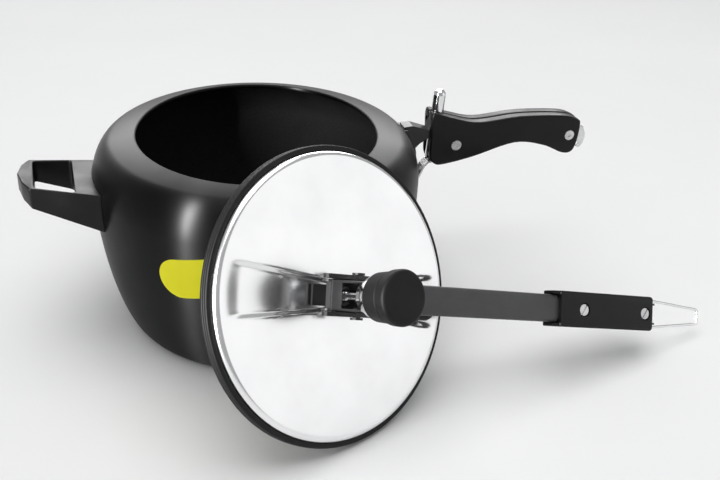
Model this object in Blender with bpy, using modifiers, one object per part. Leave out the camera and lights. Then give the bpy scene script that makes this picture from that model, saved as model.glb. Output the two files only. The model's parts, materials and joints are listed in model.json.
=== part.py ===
"""Inner-lid stovetop pressure cooker, modelled in metres with +Z up.

The pot stands on the floor with its axis on Z and its long handle along +X.
The lid is off and leans against the pot's shoulder, with its bar pointing right.
"""
import math

import bmesh
import bpy
from mathutils import Matrix, Vector

# ---- clearances -------------------------------------------------------------
GAP = 0.0003                 # between pieces that touch
RUNNING = 0.0004             # between a pin and the piece that turns on it

# ---- pot --------------------------------------------------------------------
POT_HEIGHT = 0.1522
BODY_RADIUS = 0.124          # widest, at the shoulder
SHOULDER_DROP = 0.0342       # from the pot's top down to its widest point
SHOULDER_HEIGHT = POT_HEIGHT - SHOULDER_DROP
RING_RADIUS = 0.108          # outer edge of the in-turned ring
RING_DROP = 0.0032           # the ring slopes down towards its outer edge
MOUTH_SHORT = 0.090          # half the mouth along the handles
MOUTH_LONG = 0.0948          # half the mouth across them
BASE_RADIUS = 0.096
WALL = 0.0032

# ---- long handle ------------------------------------------------------------
HANDLE_START = BODY_RADIUS + 0.014
HANDLE_LENGTH = 0.131
HANDLE_THICK = 0.018
HANDLE_MID = SHOULDER_HEIGHT + 0.010     # height of its screws
HANDLE_EDGE = 0.0018         # rounding of its long edges
SOCKET_RADIUS = 0.0018       # hexagon sockets of its screws
TANG_THICK = 0.002
SCREW_SHANK = 0.0021
SCREW_HEAD = 0.0042
SCREW_HEAD_THICK = 0.0025
SCREW_SEAT = 0.0005          # room around a sunk head or nut
NUT_THICK = 0.0028
NUT_SUNK = 0.0006            # how far a nut sits below the handle's face

# ---- fulcrum post -----------------------------------------------------------
POST_RADIUS = 0.005
POST_LENGTH = 0.058
POST_LEAN = math.radians(4)
POST_FOOT = Vector((HANDLE_START + 0.004, 0, HANDLE_MID - 0.012))
POST_PIN = 0.0035            # length of the pin below the post's foot
STAY_THICK = 0.0014
STAY_HALF = 0.005

# ---- handle bracket ---------------------------------------------------------
BRACKET_PLATE = 0.0025
BRACKET_HALF = 0.009
ARM_HALF = POST_RADIUS + 0.0005
ARM_ROOM = 0.0007            # between the arm and the handle's pocket
BRACKET_RIVET = 0.0015
BRACKET_RIVET_HEAD = 0.0028
BRACKET_RIVET_TAIL = 0.0024
RIVET_APART = 0.0055         # half the distance between the bracket's two rivets

# ---- helper handle ----------------------------------------------------------
HELPER_REACH = BODY_RADIUS + 0.0515      # from the pot's axis to the handle's outer end
HELPER_ROOT_HALF = 0.032
HELPER_END_HALF = 0.025
HELPER_EDGE = 0.0015
HELPER_TOP_SLOPE = 0.160
HELPER_UNDER_SLOPE = 0.450
OPENING_NEAR = BODY_RADIUS + 0.013
OPENING_FAR = HELPER_REACH - 0.011
OPENING_HALF_NEAR = 0.0275
OPENING_HALF_FAR = 0.0225
STUD_RADIUS = 0.004
STUD_LENGTH = 0.0075         # beyond the pot's widest point
STUD_HEIGHT = SHOULDER_HEIGHT - 0.006

# ---- lid, in its own frame: X along the bar, Z out of the face --------------
LID_LAP = 0.0031             # how far the steel rim reaches past the middle size of the mouth
LID_RADIUS = (MOUTH_SHORT + MOUTH_LONG) / 2 + LID_LAP    # mean radius of the steel rim
LID_OVAL = 0.0125            # the lid is this share shorter along the bar, and longer across it
LID_SHEET = 0.0012
LID_CORNER = 0.004
RIM_DEPTH = 0.009
GASKET_WIDTH = 0.0040
GASKET_FOOT = 0.0023
GASKET_LIP = 0.0045          # how far the gasket's foot reaches in under the rim
TROUGH_DEPTH = 0.0015
TROUGH_HALF_INNER = 0.010
TROUGH_HALF_OUTER = 0.020
TROUGH_SIDE = 0.003
TROUGH_END = 0.012
LID_ASIDE = -0.047842        # how far the leaning lid stands to one side of where it faces the pot
LEAN_NEST = 0.0025           # how far the pot's shoulder reaches into the lid's hollow back
FLOOR_GAP = 0.0006           # between the lid's rim and the floor
LID_NORMAL = Vector((0.3956, -0.8156, 0.4222))
LID_TURN = math.radians(-22.6)   # the bar points this far below the horizontal

# ---- vent tube and bracket --------------------------------------------------
TUBE_RADIUS = 0.004
TUBE_SHOULDER = 0.0322
NOZZLE_RADIUS = 0.003
NOZZLE_TOP = 0.0375
VENT_BORE = 0.0012
TUBE_BELOW = 0.009           # length of the tube under the lid
COLLAR_RADIUS = TUBE_RADIUS + 0.0026
COLLAR_HEIGHT = 0.004
WASHER_RADIUS = TUBE_RADIUS + 0.004
WASHER_THICK = 0.0018
VENT_NUT_RADIUS = TUBE_RADIUS + 0.0035
VENT_NUT_THICK = 0.0045
PIVOT_HEIGHT = 0.0205
CHEEK_THICK = 0.0028
BASE_PLATE = 0.002
RIVET_RADIUS = 0.0026
RIVET_HEAD = RIVET_RADIUS + 0.0016
BRACKET_BACK = -0.004        # the base plate runs from here
BRACKET_FRONT = 0.022
TAB_HALF = 0.007

# ---- lid bar ----------------------------------------------------------------
BAR_TILT = math.radians(7.4)     # the bar's outer end stands off the lid
BAR_HALF = 0.010
BAR_TOP = 0.009
BAR_SHEET = 0.0016
BAR_INNER_END = -0.024
BAR_DEEP = 0.005             # depth of its sides below the pivot
BAR_SHALLOW_FROM = 0.026
WINDOW_HALF = 0.017
LUG_RADIUS = 0.003
LUG_HEIGHT = 0.004
GRIP_START = 0.164
GRIP_LENGTH = 0.094
GRIP_HALF = BAR_HALF + 0.003
GRIP_LOW = -0.007
GRIP_HIGH = BAR_TOP + 0.003
GRIP_EDGE = 0.0016
GRIP_SEAT = 0.0009           # room around a grip screw's head
TANG_HALF = BAR_HALF - 0.0018
LOOP_PIVOT = GRIP_START + GRIP_LENGTH + 0.0045
EAR_RADIUS = 0.0035
LOOP_LENGTH = 0.0535
LOOP_WIRE = 0.0011
LOOP_PIVOT_HEIGHT = 0.0045

# ---- pressure weight --------------------------------------------------------
WEIGHT_FOOT = 0.0115
WEIGHT_CORE = 0.0125
WEIGHT_SKIRT = 0.0158
WEIGHT_CAP = 0.0179
WEIGHT_TOP = 0.0675
WEIGHT_ROOF = 0.0075         # thickness of the cover over the core
WEIGHT_STEP = 0.0055
WEIGHT_SKIRT_RISE = 0.0115   # from the core's foot up to the cover's lower edge
WEIGHT_GROOVE = 0.0135

# ---- safety valve -----------------------------------------------------------
VALVE_AT = (0.074, -0.0056)
VALVE_RADIUS = 0.0045
VALVE_FLANGE = 0.007
VALVE_CAP = VALVE_FLANGE + 0.001
VALVE_NUT_RADIUS = VALVE_RADIUS + 0.0033
VALVE_NUT_THICK = 0.004
VALVE_TOP = 0.003

for leftover in list(bpy.data.objects):
    bpy.data.objects.remove(leftover, do_unlink=True)

PARTS = bpy.data.collections.new("pressure_cooker")
CUTTERS = bpy.data.collections.new("cutters")
bpy.context.scene.collection.children.link(PARTS)
bpy.context.scene.collection.children.link(CUTTERS)


# ---- helpers ----------------------------------------------------------------
def finish(name, colour, roughness, metallic=0.0):
    """Make one Principled material."""
    mat = bpy.data.materials.new(name)
    mat.use_nodes = True
    shader = mat.node_tree.nodes["Principled BSDF"]
    shader.inputs["Base Color"].default_value = (*colour, 1)
    shader.inputs["Roughness"].default_value = roughness
    shader.inputs["Metallic"].default_value = metallic
    return mat


def add(name, mesh, mat, parent=None):
    """Put a mesh in the scene: a part when it has a material, else a cutter."""
    obj = bpy.data.objects.new(name, mesh)
    obj.parent = parent
    if mat is None:
        CUTTERS.objects.link(obj)
        obj.hide_render = True
        obj.display_type = "WIRE"
    else:
        PARTS.objects.link(obj)
        mesh.materials.append(mat)
    return obj


def frame(name, matrix, parent=None):
    """Make an empty that carries the pieces of one moving body."""
    empty = bpy.data.objects.new(name, None)
    PARTS.objects.link(empty)
    empty.parent = parent
    empty.matrix_local = matrix
    return empty


def block(name, low, high, mat=None, parent=None, bevel=0.0):
    """Make a box between two corners."""
    bm = bmesh.new()
    bmesh.ops.create_cube(bm, size=1)
    size = Vector(high) - Vector(low)
    middle = (Vector(high) + Vector(low)) / 2
    for vert in bm.verts:
        vert.co = Vector((vert.co.x * size.x, vert.co.y * size.y, vert.co.z * size.z)) + middle
    mesh = bpy.data.meshes.new(name)
    bm.to_mesh(mesh)
    bm.free()
    obj = add(name, mesh, mat, parent)
    if bevel:
        round_edges(obj, bevel)
    return obj


def rod(name, radius, start, end, mat=None, parent=None, sides=24):
    """Make a closed cylinder from one point to another."""
    start, end = Vector(start), Vector(end)
    bm = bmesh.new()
    bmesh.ops.create_cone(
        bm, cap_ends=True, segments=sides, radius1=radius, radius2=radius, depth=(end - start).length)
    turn = (end - start).to_track_quat("Z", "Y").to_matrix().to_4x4()
    bmesh.ops.transform(bm, matrix=Matrix.Translation((start + end) / 2) @ turn, verts=bm.verts)
    mesh = bpy.data.meshes.new(name)
    bm.to_mesh(mesh)
    bm.free()
    obj = add(name, mesh, mat, parent)
    smooth(obj)
    return obj


def turned(name, profile, mat=None, parent=None, steps=48, ring=False):
    """Turn a profile of (radius, height) points, listed down its outer side, about Z."""
    mesh = bpy.data.meshes.new(name)
    count = len(profile)
    edges = [(i, i + 1) for i in range(count - 1)]
    if ring:
        edges.append((count - 1, 0))
    mesh.from_pydata([(r, 0, z) for r, z in profile], edges, [])
    obj = add(name, mesh, mat, parent)
    screw = obj.modifiers.new("turn", "SCREW")
    screw.steps = steps
    screw.render_steps = steps
    screw.use_merge_vertices = True
    screw.merge_threshold = 0.00001
    return obj


def extruded(name, outline, low, high, mat=None, parent=None):
    """Extrude an (x, z) outline along Y, from low to high."""
    bm = bmesh.new()
    near = [bm.verts.new((x, low, z)) for x, z in outline]
    far = [bm.verts.new((x, high, z)) for x, z in outline]
    bm.faces.new(near)
    bm.faces.new(far)
    for i in range(len(outline)):
        j = (i + 1) % len(outline)
        bm.faces.new((near[i], near[j], far[j], far[i]))
    bmesh.ops.recalc_face_normals(bm, faces=bm.faces)
    mesh = bpy.data.meshes.new(name)
    bm.to_mesh(mesh)
    bm.free()
    return add(name, mesh, mat, parent)


def boolean(obj, others, operation):
    """Add one Boolean modifier for each of the other objects."""
    for other in others:
        mod = obj.modifiers.new(other.name, "BOOLEAN")
        mod.operation = operation
        mod.object = other
        mod.solver = "EXACT"
    return obj


def cut(obj, *others):
    return boolean(obj, others, "DIFFERENCE")


def join(obj, *others):
    return boolean(obj, others, "UNION")


def round_edges(obj, width, segments=2):
    """Round the sharp edges of a piece."""
    mod = obj.modifiers.new("round", "BEVEL")
    mod.width = width
    mod.segments = segments
    mod.limit_method = "ANGLE"
    mod.angle_limit = math.radians(40)
    return obj


def smooth(obj, angle=35):
    """Shade a piece smooth, with its corners left sharp."""
    obj.data.shade_smooth()
    obj.data.set_sharp_from_angle(angle=math.radians(angle))


def applied(obj):
    """Turn an object's modifiers into plain mesh."""
    bpy.context.view_layer.update()
    graph = bpy.context.evaluated_depsgraph_get()
    mesh = bpy.data.meshes.new_from_object(obj.evaluated_get(graph))
    obj.modifiers.clear()
    obj.data = mesh
    return obj


def bezier(p0, p1, p2, p3, count):
    """Points of a cubic curve, without its first point."""
    points = []
    for i in range(1, count + 1):
        t = i / count
        s = 1 - t
        points.append(tuple(
            s ** 3 * a + 3 * s * s * t * b + 3 * s * t * t * c + t ** 3 * d
            for a, b, c, d in zip(p0, p1, p2, p3)))
    return points


def arc(centre, radius, start, end, count):
    """Points of a round corner, angles in degrees."""
    angles = [math.radians(start + (end - start) * i / count) for i in range(count + 1)]
    return [(centre[0] + radius * math.cos(a), centre[1] + radius * math.sin(a)) for a in angles]


def flowing(points, per_span):
    """A closed smooth outline through a few points."""
    count = len(points)
    result = []
    for i in range(count):
        before, here, after, later = (Vector(points[(i + k) % count]) for k in (-1, 0, 1, 2))
        for step in range(per_span):
            t = step / per_span
            a = -t + 2 * t * t - t ** 3
            b = 2 - 5 * t * t + 3 * t ** 3
            c = t + 4 * t * t - 3 * t ** 3
            d = -t * t + t ** 3
            result.append(tuple((before * a + here * b + after * c + later * d) / 2))
    return result


def grown(outline, amount):
    """A closed outline moved outwards by an amount."""
    count = len(outline)
    area = sum(outline[i - 1][0] * outline[i][1] - outline[i][0] * outline[i - 1][1] for i in range(count))
    outwards = math.copysign(amount, area)
    moved = []
    for i, point in enumerate(outline):
        along = (Vector(outline[(i + 1) % count]) - Vector(outline[i - 1])).normalized()
        moved.append((point[0] + along.y * outwards, point[1] - along.x * outwards))
    return moved


def strip(path, thickness):
    """The outline of a bent sheet strip along a path."""
    left, right = [], []
    for i, point in enumerate(path):
        ahead = Vector(path[min(i + 1, len(path) - 1)])
        behind = Vector(path[max(i - 1, 0)])
        along = (ahead - behind).normalized()
        side = Vector((-along.y, along.x)) * thickness / 2
        left.append(tuple(Vector(point) + side))
        right.append(tuple(Vector(point) - side))
    return left + list(reversed(right))


# ---- finishes ---------------------------------------------------------------
ANODISED = finish("hard_anodised_black", (0.035, 0.036, 0.038), 0.38, 0.6)
PHENOLIC = finish("black_phenolic", (0.018, 0.018, 0.019), 0.42)
BLACK_STEEL = finish("black_painted_steel", (0.015, 0.015, 0.016), 0.4, 0.2)
GREY_STEEL = finish("grey_painted_steel", (0.07, 0.07, 0.072), 0.5, 0.2)
CHROME = finish("chrome", (0.75, 0.75, 0.76), 0.08, 1.0)
STAINLESS = finish("stainless_steel", (0.78, 0.78, 0.79), 0.16, 1.0)
RUBBER = finish("black_rubber", (0.012, 0.012, 0.012), 0.55)
ZINC = finish("zinc_plated_steel", (0.6, 0.6, 0.6), 0.3, 1.0)


# ---- pot --------------------------------------------------------------------
def pot_side(offset=0.0):
    """The pot's outer side from the ring's edge down to its base, moved out by offset."""
    ring_z = POT_HEIGHT - RING_DROP
    edge = (RING_RADIUS, ring_z)
    widest = (BODY_RADIUS, SHOULDER_HEIGHT)
    shoulder = bezier(
        edge, (RING_RADIUS + 0.5 * (BODY_RADIUS - RING_RADIUS), ring_z - 0.0014),
        (BODY_RADIUS, SHOULDER_HEIGHT + 0.5 * (ring_z - SHOULDER_HEIGHT)), widest, 6)
    side = bezier(
        widest, (BODY_RADIUS, 0.5 * SHOULDER_HEIGHT),
        (BASE_RADIUS + 0.4 * (BODY_RADIUS - BASE_RADIUS), 0), (BASE_RADIUS, 0), 11)
    points = [edge] + shoulder + side
    if not offset:
        return points
    moved = []
    for i, (r, z) in enumerate(points):
        ahead = points[min(i + 1, len(points) - 1)]
        behind = points[max(i - 1, 0)]
        along = Vector((ahead[0] - behind[0], ahead[1] - behind[1])).normalized()
        moved.append((r - along.y * offset, z + along.x * offset))
    return moved


def pot_body():
    """The pot: one turned wall, with the mouth then drawn out to an oval."""
    lip = WALL / 2
    outer = pot_side()
    inner = [(r, z) for r, z in pot_side(-WALL) if r > MOUTH_SHORT + lip]
    inner_floor = [(0, WALL), (BASE_RADIUS * 0.5, WALL)]
    lip_round = arc((MOUTH_SHORT + lip, POT_HEIGHT - lip), lip, -90, -270, 4)
    profile = inner_floor + [p for p in reversed(inner) if p[1] > WALL]
    profile += lip_round + outer + [(BASE_RADIUS * 0.5, 0), (0, 0)]
    pot = applied(turned("pot_body", profile, ANODISED, steps=48))
    reach = RING_RADIUS - MOUTH_SHORT
    for vert in pot.data.vertices:
        radius = math.hypot(vert.co.x, vert.co.y)
        if radius < RING_RADIUS and vert.co.z > SHOULDER_HEIGHT:
            share = (RING_RADIUS - radius) / reach
            vert.co.y *= 1 + (MOUTH_LONG / MOUTH_SHORT - 1) * share
    smooth(pot)
    return pot


def pot_clearance():
    """A solid a touching gap larger than the pot, to trim what is fixed to its wall."""
    side = [(r, z) for r, z in pot_side(GAP) if z > 0]
    low = side[-1]
    profile = [(0, side[0][1])] + side + [(low[0], -0.01), (0, -0.01)]
    return turned("pot_clearance", profile, steps=96)


# ---- helper handle ----------------------------------------------------------
def helper_handle(clearance):
    """The moulded loop handle, its finger opening, its stud and its screw."""
    root = BODY_RADIUS - 0.016
    bulge = HELPER_REACH - 0.008
    plan = [(-root, -HELPER_ROOT_HALF - 0.002), (-root - 0.010, -HELPER_ROOT_HALF)]
    plan += [(-bulge, -HELPER_END_HALF), (-bulge - 0.005, -0.6 * HELPER_END_HALF)]
    plan += [(-HELPER_REACH, 0)]
    plan += [(x, -y) for x, y in reversed(plan[:-1])]

    def top(x):
        return SHOULDER_HEIGHT + 0.0067 + HELPER_TOP_SLOPE * (-BODY_RADIUS + 0.003 - x)

    def bottom(x):
        return SHOULDER_HEIGHT - 0.024 + HELPER_UNDER_SLOPE * (-BODY_RADIUS + 0.006 - x)

    bm = bmesh.new()
    low = [bm.verts.new((x, y, bottom(x))) for x, y in plan]
    high = [bm.verts.new((x, y, top(x))) for x, y in plan]
    bm.faces.new(low)
    bm.faces.new(high)
    for i in range(len(plan)):
        j = (i + 1) % len(plan)
        bm.faces.new((low[i], low[j], high[j], high[i]))
    bmesh.ops.recalc_face_normals(bm, faces=bm.faces)
    mesh = bpy.data.meshes.new("helper_handle")
    bm.to_mesh(mesh)
    bm.free()
    handle = add("helper_handle", mesh, PHENOLIC)
    round_edges(handle, HELPER_EDGE)

    opening = bmesh.new()
    bmesh.ops.create_cube(opening, size=1)
    for vert in opening.verts:
        far = vert.co.x < 0
        half = OPENING_HALF_FAR if far else OPENING_HALF_NEAR
        x = -OPENING_FAR if far else -OPENING_NEAR
        height = SHOULDER_HEIGHT + math.copysign(0.05, vert.co.z)
        vert.co = Vector((x, math.copysign(half, vert.co.y), height))
    mesh = bpy.data.meshes.new("finger_opening")
    opening.to_mesh(mesh)
    opening.free()
    finger = add("finger_opening", mesh, None)

    stud_end = BODY_RADIUS + STUD_LENGTH
    seat = OPENING_NEAR - 0.003
    stud_pocket = rod("stud_pocket", STUD_RADIUS + GAP, (-BODY_RADIUS + 0.014, 0, STUD_HEIGHT),
                      (-stud_end - GAP, 0, STUD_HEIGHT))
    screw_hole = rod("helper_screw_hole", SCREW_SHANK + GAP, (-BODY_RADIUS + 0.004, 0, STUD_HEIGHT),
                     (-OPENING_NEAR - 0.002, 0, STUD_HEIGHT))
    screw_seat = rod("helper_screw_seat", SCREW_HEAD + GAP, (-seat + GAP, 0, STUD_HEIGHT),
                     (-OPENING_NEAR - 0.002, 0, STUD_HEIGHT))
    cut(handle, finger, clearance, stud_pocket, screw_hole, screw_seat)
    smooth(handle)

    stud = rod("helper_stud", STUD_RADIUS, (-BODY_RADIUS + 0.004, 0, STUD_HEIGHT),
               (-stud_end, 0, STUD_HEIGHT), ZINC)
    stud_bore = rod("stud_bore", SCREW_SHANK + GAP, (-BODY_RADIUS - 0.0025, 0, STUD_HEIGHT),
                    (-stud_end - 0.002, 0, STUD_HEIGHT))
    cut(stud, clearance, stud_bore)
    screw = rod("helper_screw", SCREW_SHANK, (-BODY_RADIUS - 0.003, 0, STUD_HEIGHT),
                (-seat - 0.0005, 0, STUD_HEIGHT), ZINC)
    head = rod("helper_screw_head", SCREW_HEAD, (-seat, 0, STUD_HEIGHT),
               (-OPENING_NEAR + 0.0003, 0, STUD_HEIGHT))
    slot = block("helper_screw_slot", (-OPENING_FAR, -0.005, STUD_HEIGHT - 0.0005),
                 (-OPENING_NEAR + 0.0012, 0.005, STUD_HEIGHT + 0.0005))
    cut(join(screw, head), slot)


# ---- long handle ------------------------------------------------------------
def post_point(along):
    """A point on the post's axis, a distance above its foot."""
    return POST_FOOT + Vector((math.sin(POST_LEAN), 0, math.cos(POST_LEAN))) * along


def long_handle():
    """The two moulded cheeks, the steel tang between them, and the screws that clamp them."""
    start = HANDLE_START
    end = start + HANDLE_LENGTH
    mid = HANDLE_MID
    waist, arch = start + 0.31 * HANDLE_LENGTH, start + 0.58 * HANDLE_LENGTH
    outline = [
        (start, mid + 0.027), (start + 0.006, mid + 0.0275), (start + 0.018, mid + 0.0235),
        (waist, mid + 0.0182), (arch, mid + 0.0203), (end - 0.018, mid + 0.0180),
        (end - 0.003, mid + 0.0135), (end, mid + 0.009), (end - 0.001, mid - 0.006),
        (end - 0.005, mid - 0.0150), (end - 0.014, mid - 0.0153), (end - 0.032, mid - 0.0070),
        (arch - 0.003, mid - 0.0025), (waist - 0.003, mid - 0.0115), (start + 0.012, mid - 0.0160),
        (start + 0.004, mid - 0.0145), (start, mid - 0.0080), (start, mid + 0.010)]
    outline = flowing(outline, 2)
    half = HANDLE_THICK / 2
    inner_x, outer_x = start + 0.022, end - 0.009
    nose = end + 0.010
    blade = flowing([
        (start + 0.0165, mid + 0.006), (arch, mid + 0.008), (end, mid + 0.005), (nose - 0.002, mid + 0.001),
        (nose, mid - 0.007), (nose - 0.003, mid - 0.0145), (end + 0.003, mid - 0.0145),
        (end + 0.001, mid - 0.008), (arch, mid + 0.001), (start + 0.0165, mid - 0.007)], 2)
    tang_room = TANG_THICK / 2 + GAP
    slot = extruded("tang_pocket", grown(blade, GAP), -tang_room, tang_room)
    pocket_half = ARM_HALF + ARM_ROOM
    pocket = block("bracket_pocket", (start - 0.01, -pocket_half, mid - 0.03),
                   (start + 0.0155, pocket_half, mid + 0.0225))
    bore = rod("post_bore", POST_RADIUS + GAP, post_point(0), post_point(POST_LENGTH))
    seat = SCREW_HEAD + SCREW_SEAT
    nut_low = half - NUT_SUNK - NUT_THICK
    front_cuts, rear_cuts = [pocket, slot, bore], [pocket, slot, bore]
    for label, x in (("inner", inner_x), ("outer", outer_x)):
        shank = rod(f"shank_hole_{label}", SCREW_SHANK + GAP, (x, -0.02, mid), (x, 0.02, mid))
        head_seat = rod(f"head_seat_{label}", seat, (x, -0.02, mid), (x, -half + 0.0029, mid))
        nut_seat = rod(f"nut_seat_{label}", seat, (x, nut_low - GAP, mid), (x, 0.02, mid))
        front_cuts += [shank, head_seat]
        rear_cuts += [shank, nut_seat]
        screw = rod(f"handle_screw_{label}", SCREW_SHANK, (x, -half + 0.002, mid),
                    (x, half - 0.001, mid), ZINC)
        head = rod(f"head_{label}", SCREW_HEAD, (x, -half + 0.0001, mid),
                   (x, -half + 0.0001 + SCREW_HEAD_THICK, mid))
        socket = rod(f"socket_{label}", SOCKET_RADIUS, (x, -half - 0.001, mid), (x, -half + 0.0013, mid),
                     sides=6)
        cut(join(screw, head), socket)
        nut = rod(f"handle_nut_{label}", SCREW_HEAD, (x, nut_low, mid), (x, half - NUT_SUNK, mid),
                  ZINC, sides=6)
        nut_bore = rod(f"nut_bore_{label}", SCREW_SHANK + GAP, (x, 0, mid), (x, 0.02, mid))
        cut(nut, nut_bore)
    for label, cuts, sign in (("front", front_cuts, -1), ("rear", rear_cuts, 1)):
        cheek = extruded(f"long_handle_{label}", outline, -half, half, PHENOLIC)
        round_edges(cheek, HANDLE_EDGE)
        low, high = sorted((sign * GAP / 2, -sign * 0.02))
        other_half = block(f"other_half_{label}", (start - 0.02, low, mid - 0.08),
                           (end + 0.02, high, mid + 0.08))
        cut(cheek, other_half, *cuts)
        smooth(cheek)

    tang = extruded("handle_tang", blade, -TANG_THICK / 2, TANG_THICK / 2, STAINLESS)
    holes = [rod(f"tang_hole_{i}", SCREW_SHANK + GAP, (x, -0.005, mid), (x, 0.005, mid))
             for i, x in enumerate((inner_x, outer_x))]
    trim = block("tang_trim", (0, -0.01, 0), (start + 0.0165, 0.01, mid + 0.08))
    cut(tang, trim, *holes)


def handle_bracket(pot, clearance):
    """The steel bracket on the pot wall, the stay under the post, the rivets and the post."""
    start, mid = HANDLE_START, HANDLE_MID
    band_low, band_high = mid - 0.038, mid + 0.022
    outer = [(r, z) for r, z in pot_side(GAP + BRACKET_PLATE) if band_low < z < band_high]
    inner = [(r, z) for r, z in pot_side(GAP) if band_low < z < band_high]
    wrap = turned("bracket_wrap", outer + list(reversed(inner)), steps=96, ring=True)
    plate = block("handle_bracket", (start - 0.058, -BRACKET_HALF, mid - 0.027),
                  (start + 0.022, BRACKET_HALF, mid + 0.0165), BLACK_STEEL)
    boolean(plate, [wrap], "INTERSECT")
    arm = extruded("bracket_arm", [
        (start - 0.022, mid + 0.018), (start - 0.015, mid + 0.0185), (start - 0.008, mid + 0.016),
        (start - 0.001, mid + 0.0135), (start + 0.001, mid + 0.0215), (start + 0.0135, mid + 0.0215),
        (start + 0.0135, mid + 0.0065), (start - 0.002, mid + 0.0065), (start - 0.008, mid + 0.003),
        (start - 0.013, mid - 0.002), (start - 0.022, mid - 0.010)], -ARM_HALF, ARM_HALF)
    bore = rod("bracket_bore", POST_RADIUS + GAP, post_point(0), post_point(POST_LENGTH))
    join(plate, arm)
    cut(plate, clearance, bore)

    foot = POST_FOOT
    pin = POST_RADIUS * 0.5
    profile = [(0, POST_LENGTH)] + [
        (POST_RADIUS * math.sin(a), POST_LENGTH - POST_RADIUS * (1 - math.cos(a)))
        for a in [math.radians(15 * i) for i in range(1, 7)]]
    profile += [(POST_RADIUS, 0), (pin, 0), (pin, -POST_PIN), (0, -POST_PIN)]
    post = turned("fulcrum_post", profile, CHROME, steps=32)
    post.location = foot
    post.rotation_euler = (0, POST_LEAN, 0)

    low = mid - 0.050
    route = [(start + 0.011, foot.z - 0.0013), (start + 0.0005, foot.z - 0.0025),
             (start - 0.003, foot.z - 0.0061)]
    lifts = ((low + 0.018, 0.0045), (low + 0.007, 0.0008), (low, 0.0001), (low - 0.006, 0.0001))
    route += [(surface_x(GAP + STAY_THICK / 2, 0, z) + lift, z) for z, lift in lifts]
    stay = extruded("post_stay", strip(route, STAY_THICK), -STAY_HALF, STAY_HALF, STAINLESS)
    pin_hole = rod("pin_hole", pin + GAP, post_point(-0.006), post_point(0.004))
    cut(stay, clearance, pin_hole)

    spots = [(-RIVET_APART, mid - 0.020, BRACKET_PLATE), (RIVET_APART, mid - 0.020, BRACKET_PLATE),
             (0.0, low, STAY_THICK)]
    for number, (y, z, _) in enumerate(spots, start=1):
        wall = BODY_RADIUS - 0.012
        out = BODY_RADIUS + 0.010
        hole = rod(f"rivet_hole_{number}", BRACKET_RIVET + GAP, (wall, y, z), (out, y, z), sides=12)
        cut(pot, hole)
        cut(plate if number < 3 else stay, hole)
    return spots


def surface_x(obj_side, y, z):
    """How far out the pot's side, or an offset of it, stands at a height and a sideways place."""
    points = pot_side(obj_side)
    for (r0, z0), (r1, z1) in zip(points, points[1:]):
        if z1 <= z <= z0:
            radius = r0 + (r1 - r0) * (z0 - z) / (z0 - z1)
            return math.sqrt(radius * radius - y * y)
    return BODY_RADIUS


def rivets(spots):
    """Rivets from inside the pot to the bracket or the stay."""
    for number, (y, z, sheet) in enumerate(spots, start=1):
        inside = surface_x(-WALL, y, z)
        outside = surface_x(GAP + sheet, y, z)
        shank = rod(f"bracket_rivet_{number}", BRACKET_RIVET, (inside - 0.0015, y, z),
                    (outside + 0.0011, y, z), ZINC, sides=12)
        head = rod(f"rivet_head_{number}", BRACKET_RIVET_HEAD, (inside - 0.0022, y, z),
                   (inside - 0.0007, y, z), sides=16)
        tail = rod(f"rivet_tail_{number}", BRACKET_RIVET_TAIL, (outside + 0.0009, y, z),
                   (outside + 0.0019, y, z), sides=16)
        join(shank, head, tail)


# ---- lid --------------------------------------------------------------------
def trough(x, y):
    """Depth of the bow-tie trough that is pressed into the lid face."""
    radius = math.hypot(x, y)
    half = TROUGH_HALF_INNER + (TROUGH_HALF_OUTER - TROUGH_HALF_INNER) * abs(x) / LID_RADIUS
    across = min(1, max(0, (half - abs(y)) / TROUGH_SIDE))
    along = min(1, max(0, (LID_RADIUS - LID_CORNER - radius) / TROUGH_END))
    return TROUGH_DEPTH * across * along


def oval(obj):
    """Make a turned lid piece shorter along the bar and longer across it."""
    obj.scale = (1 - LID_OVAL, 1 + LID_OVAL, 1)
    return obj


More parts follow.
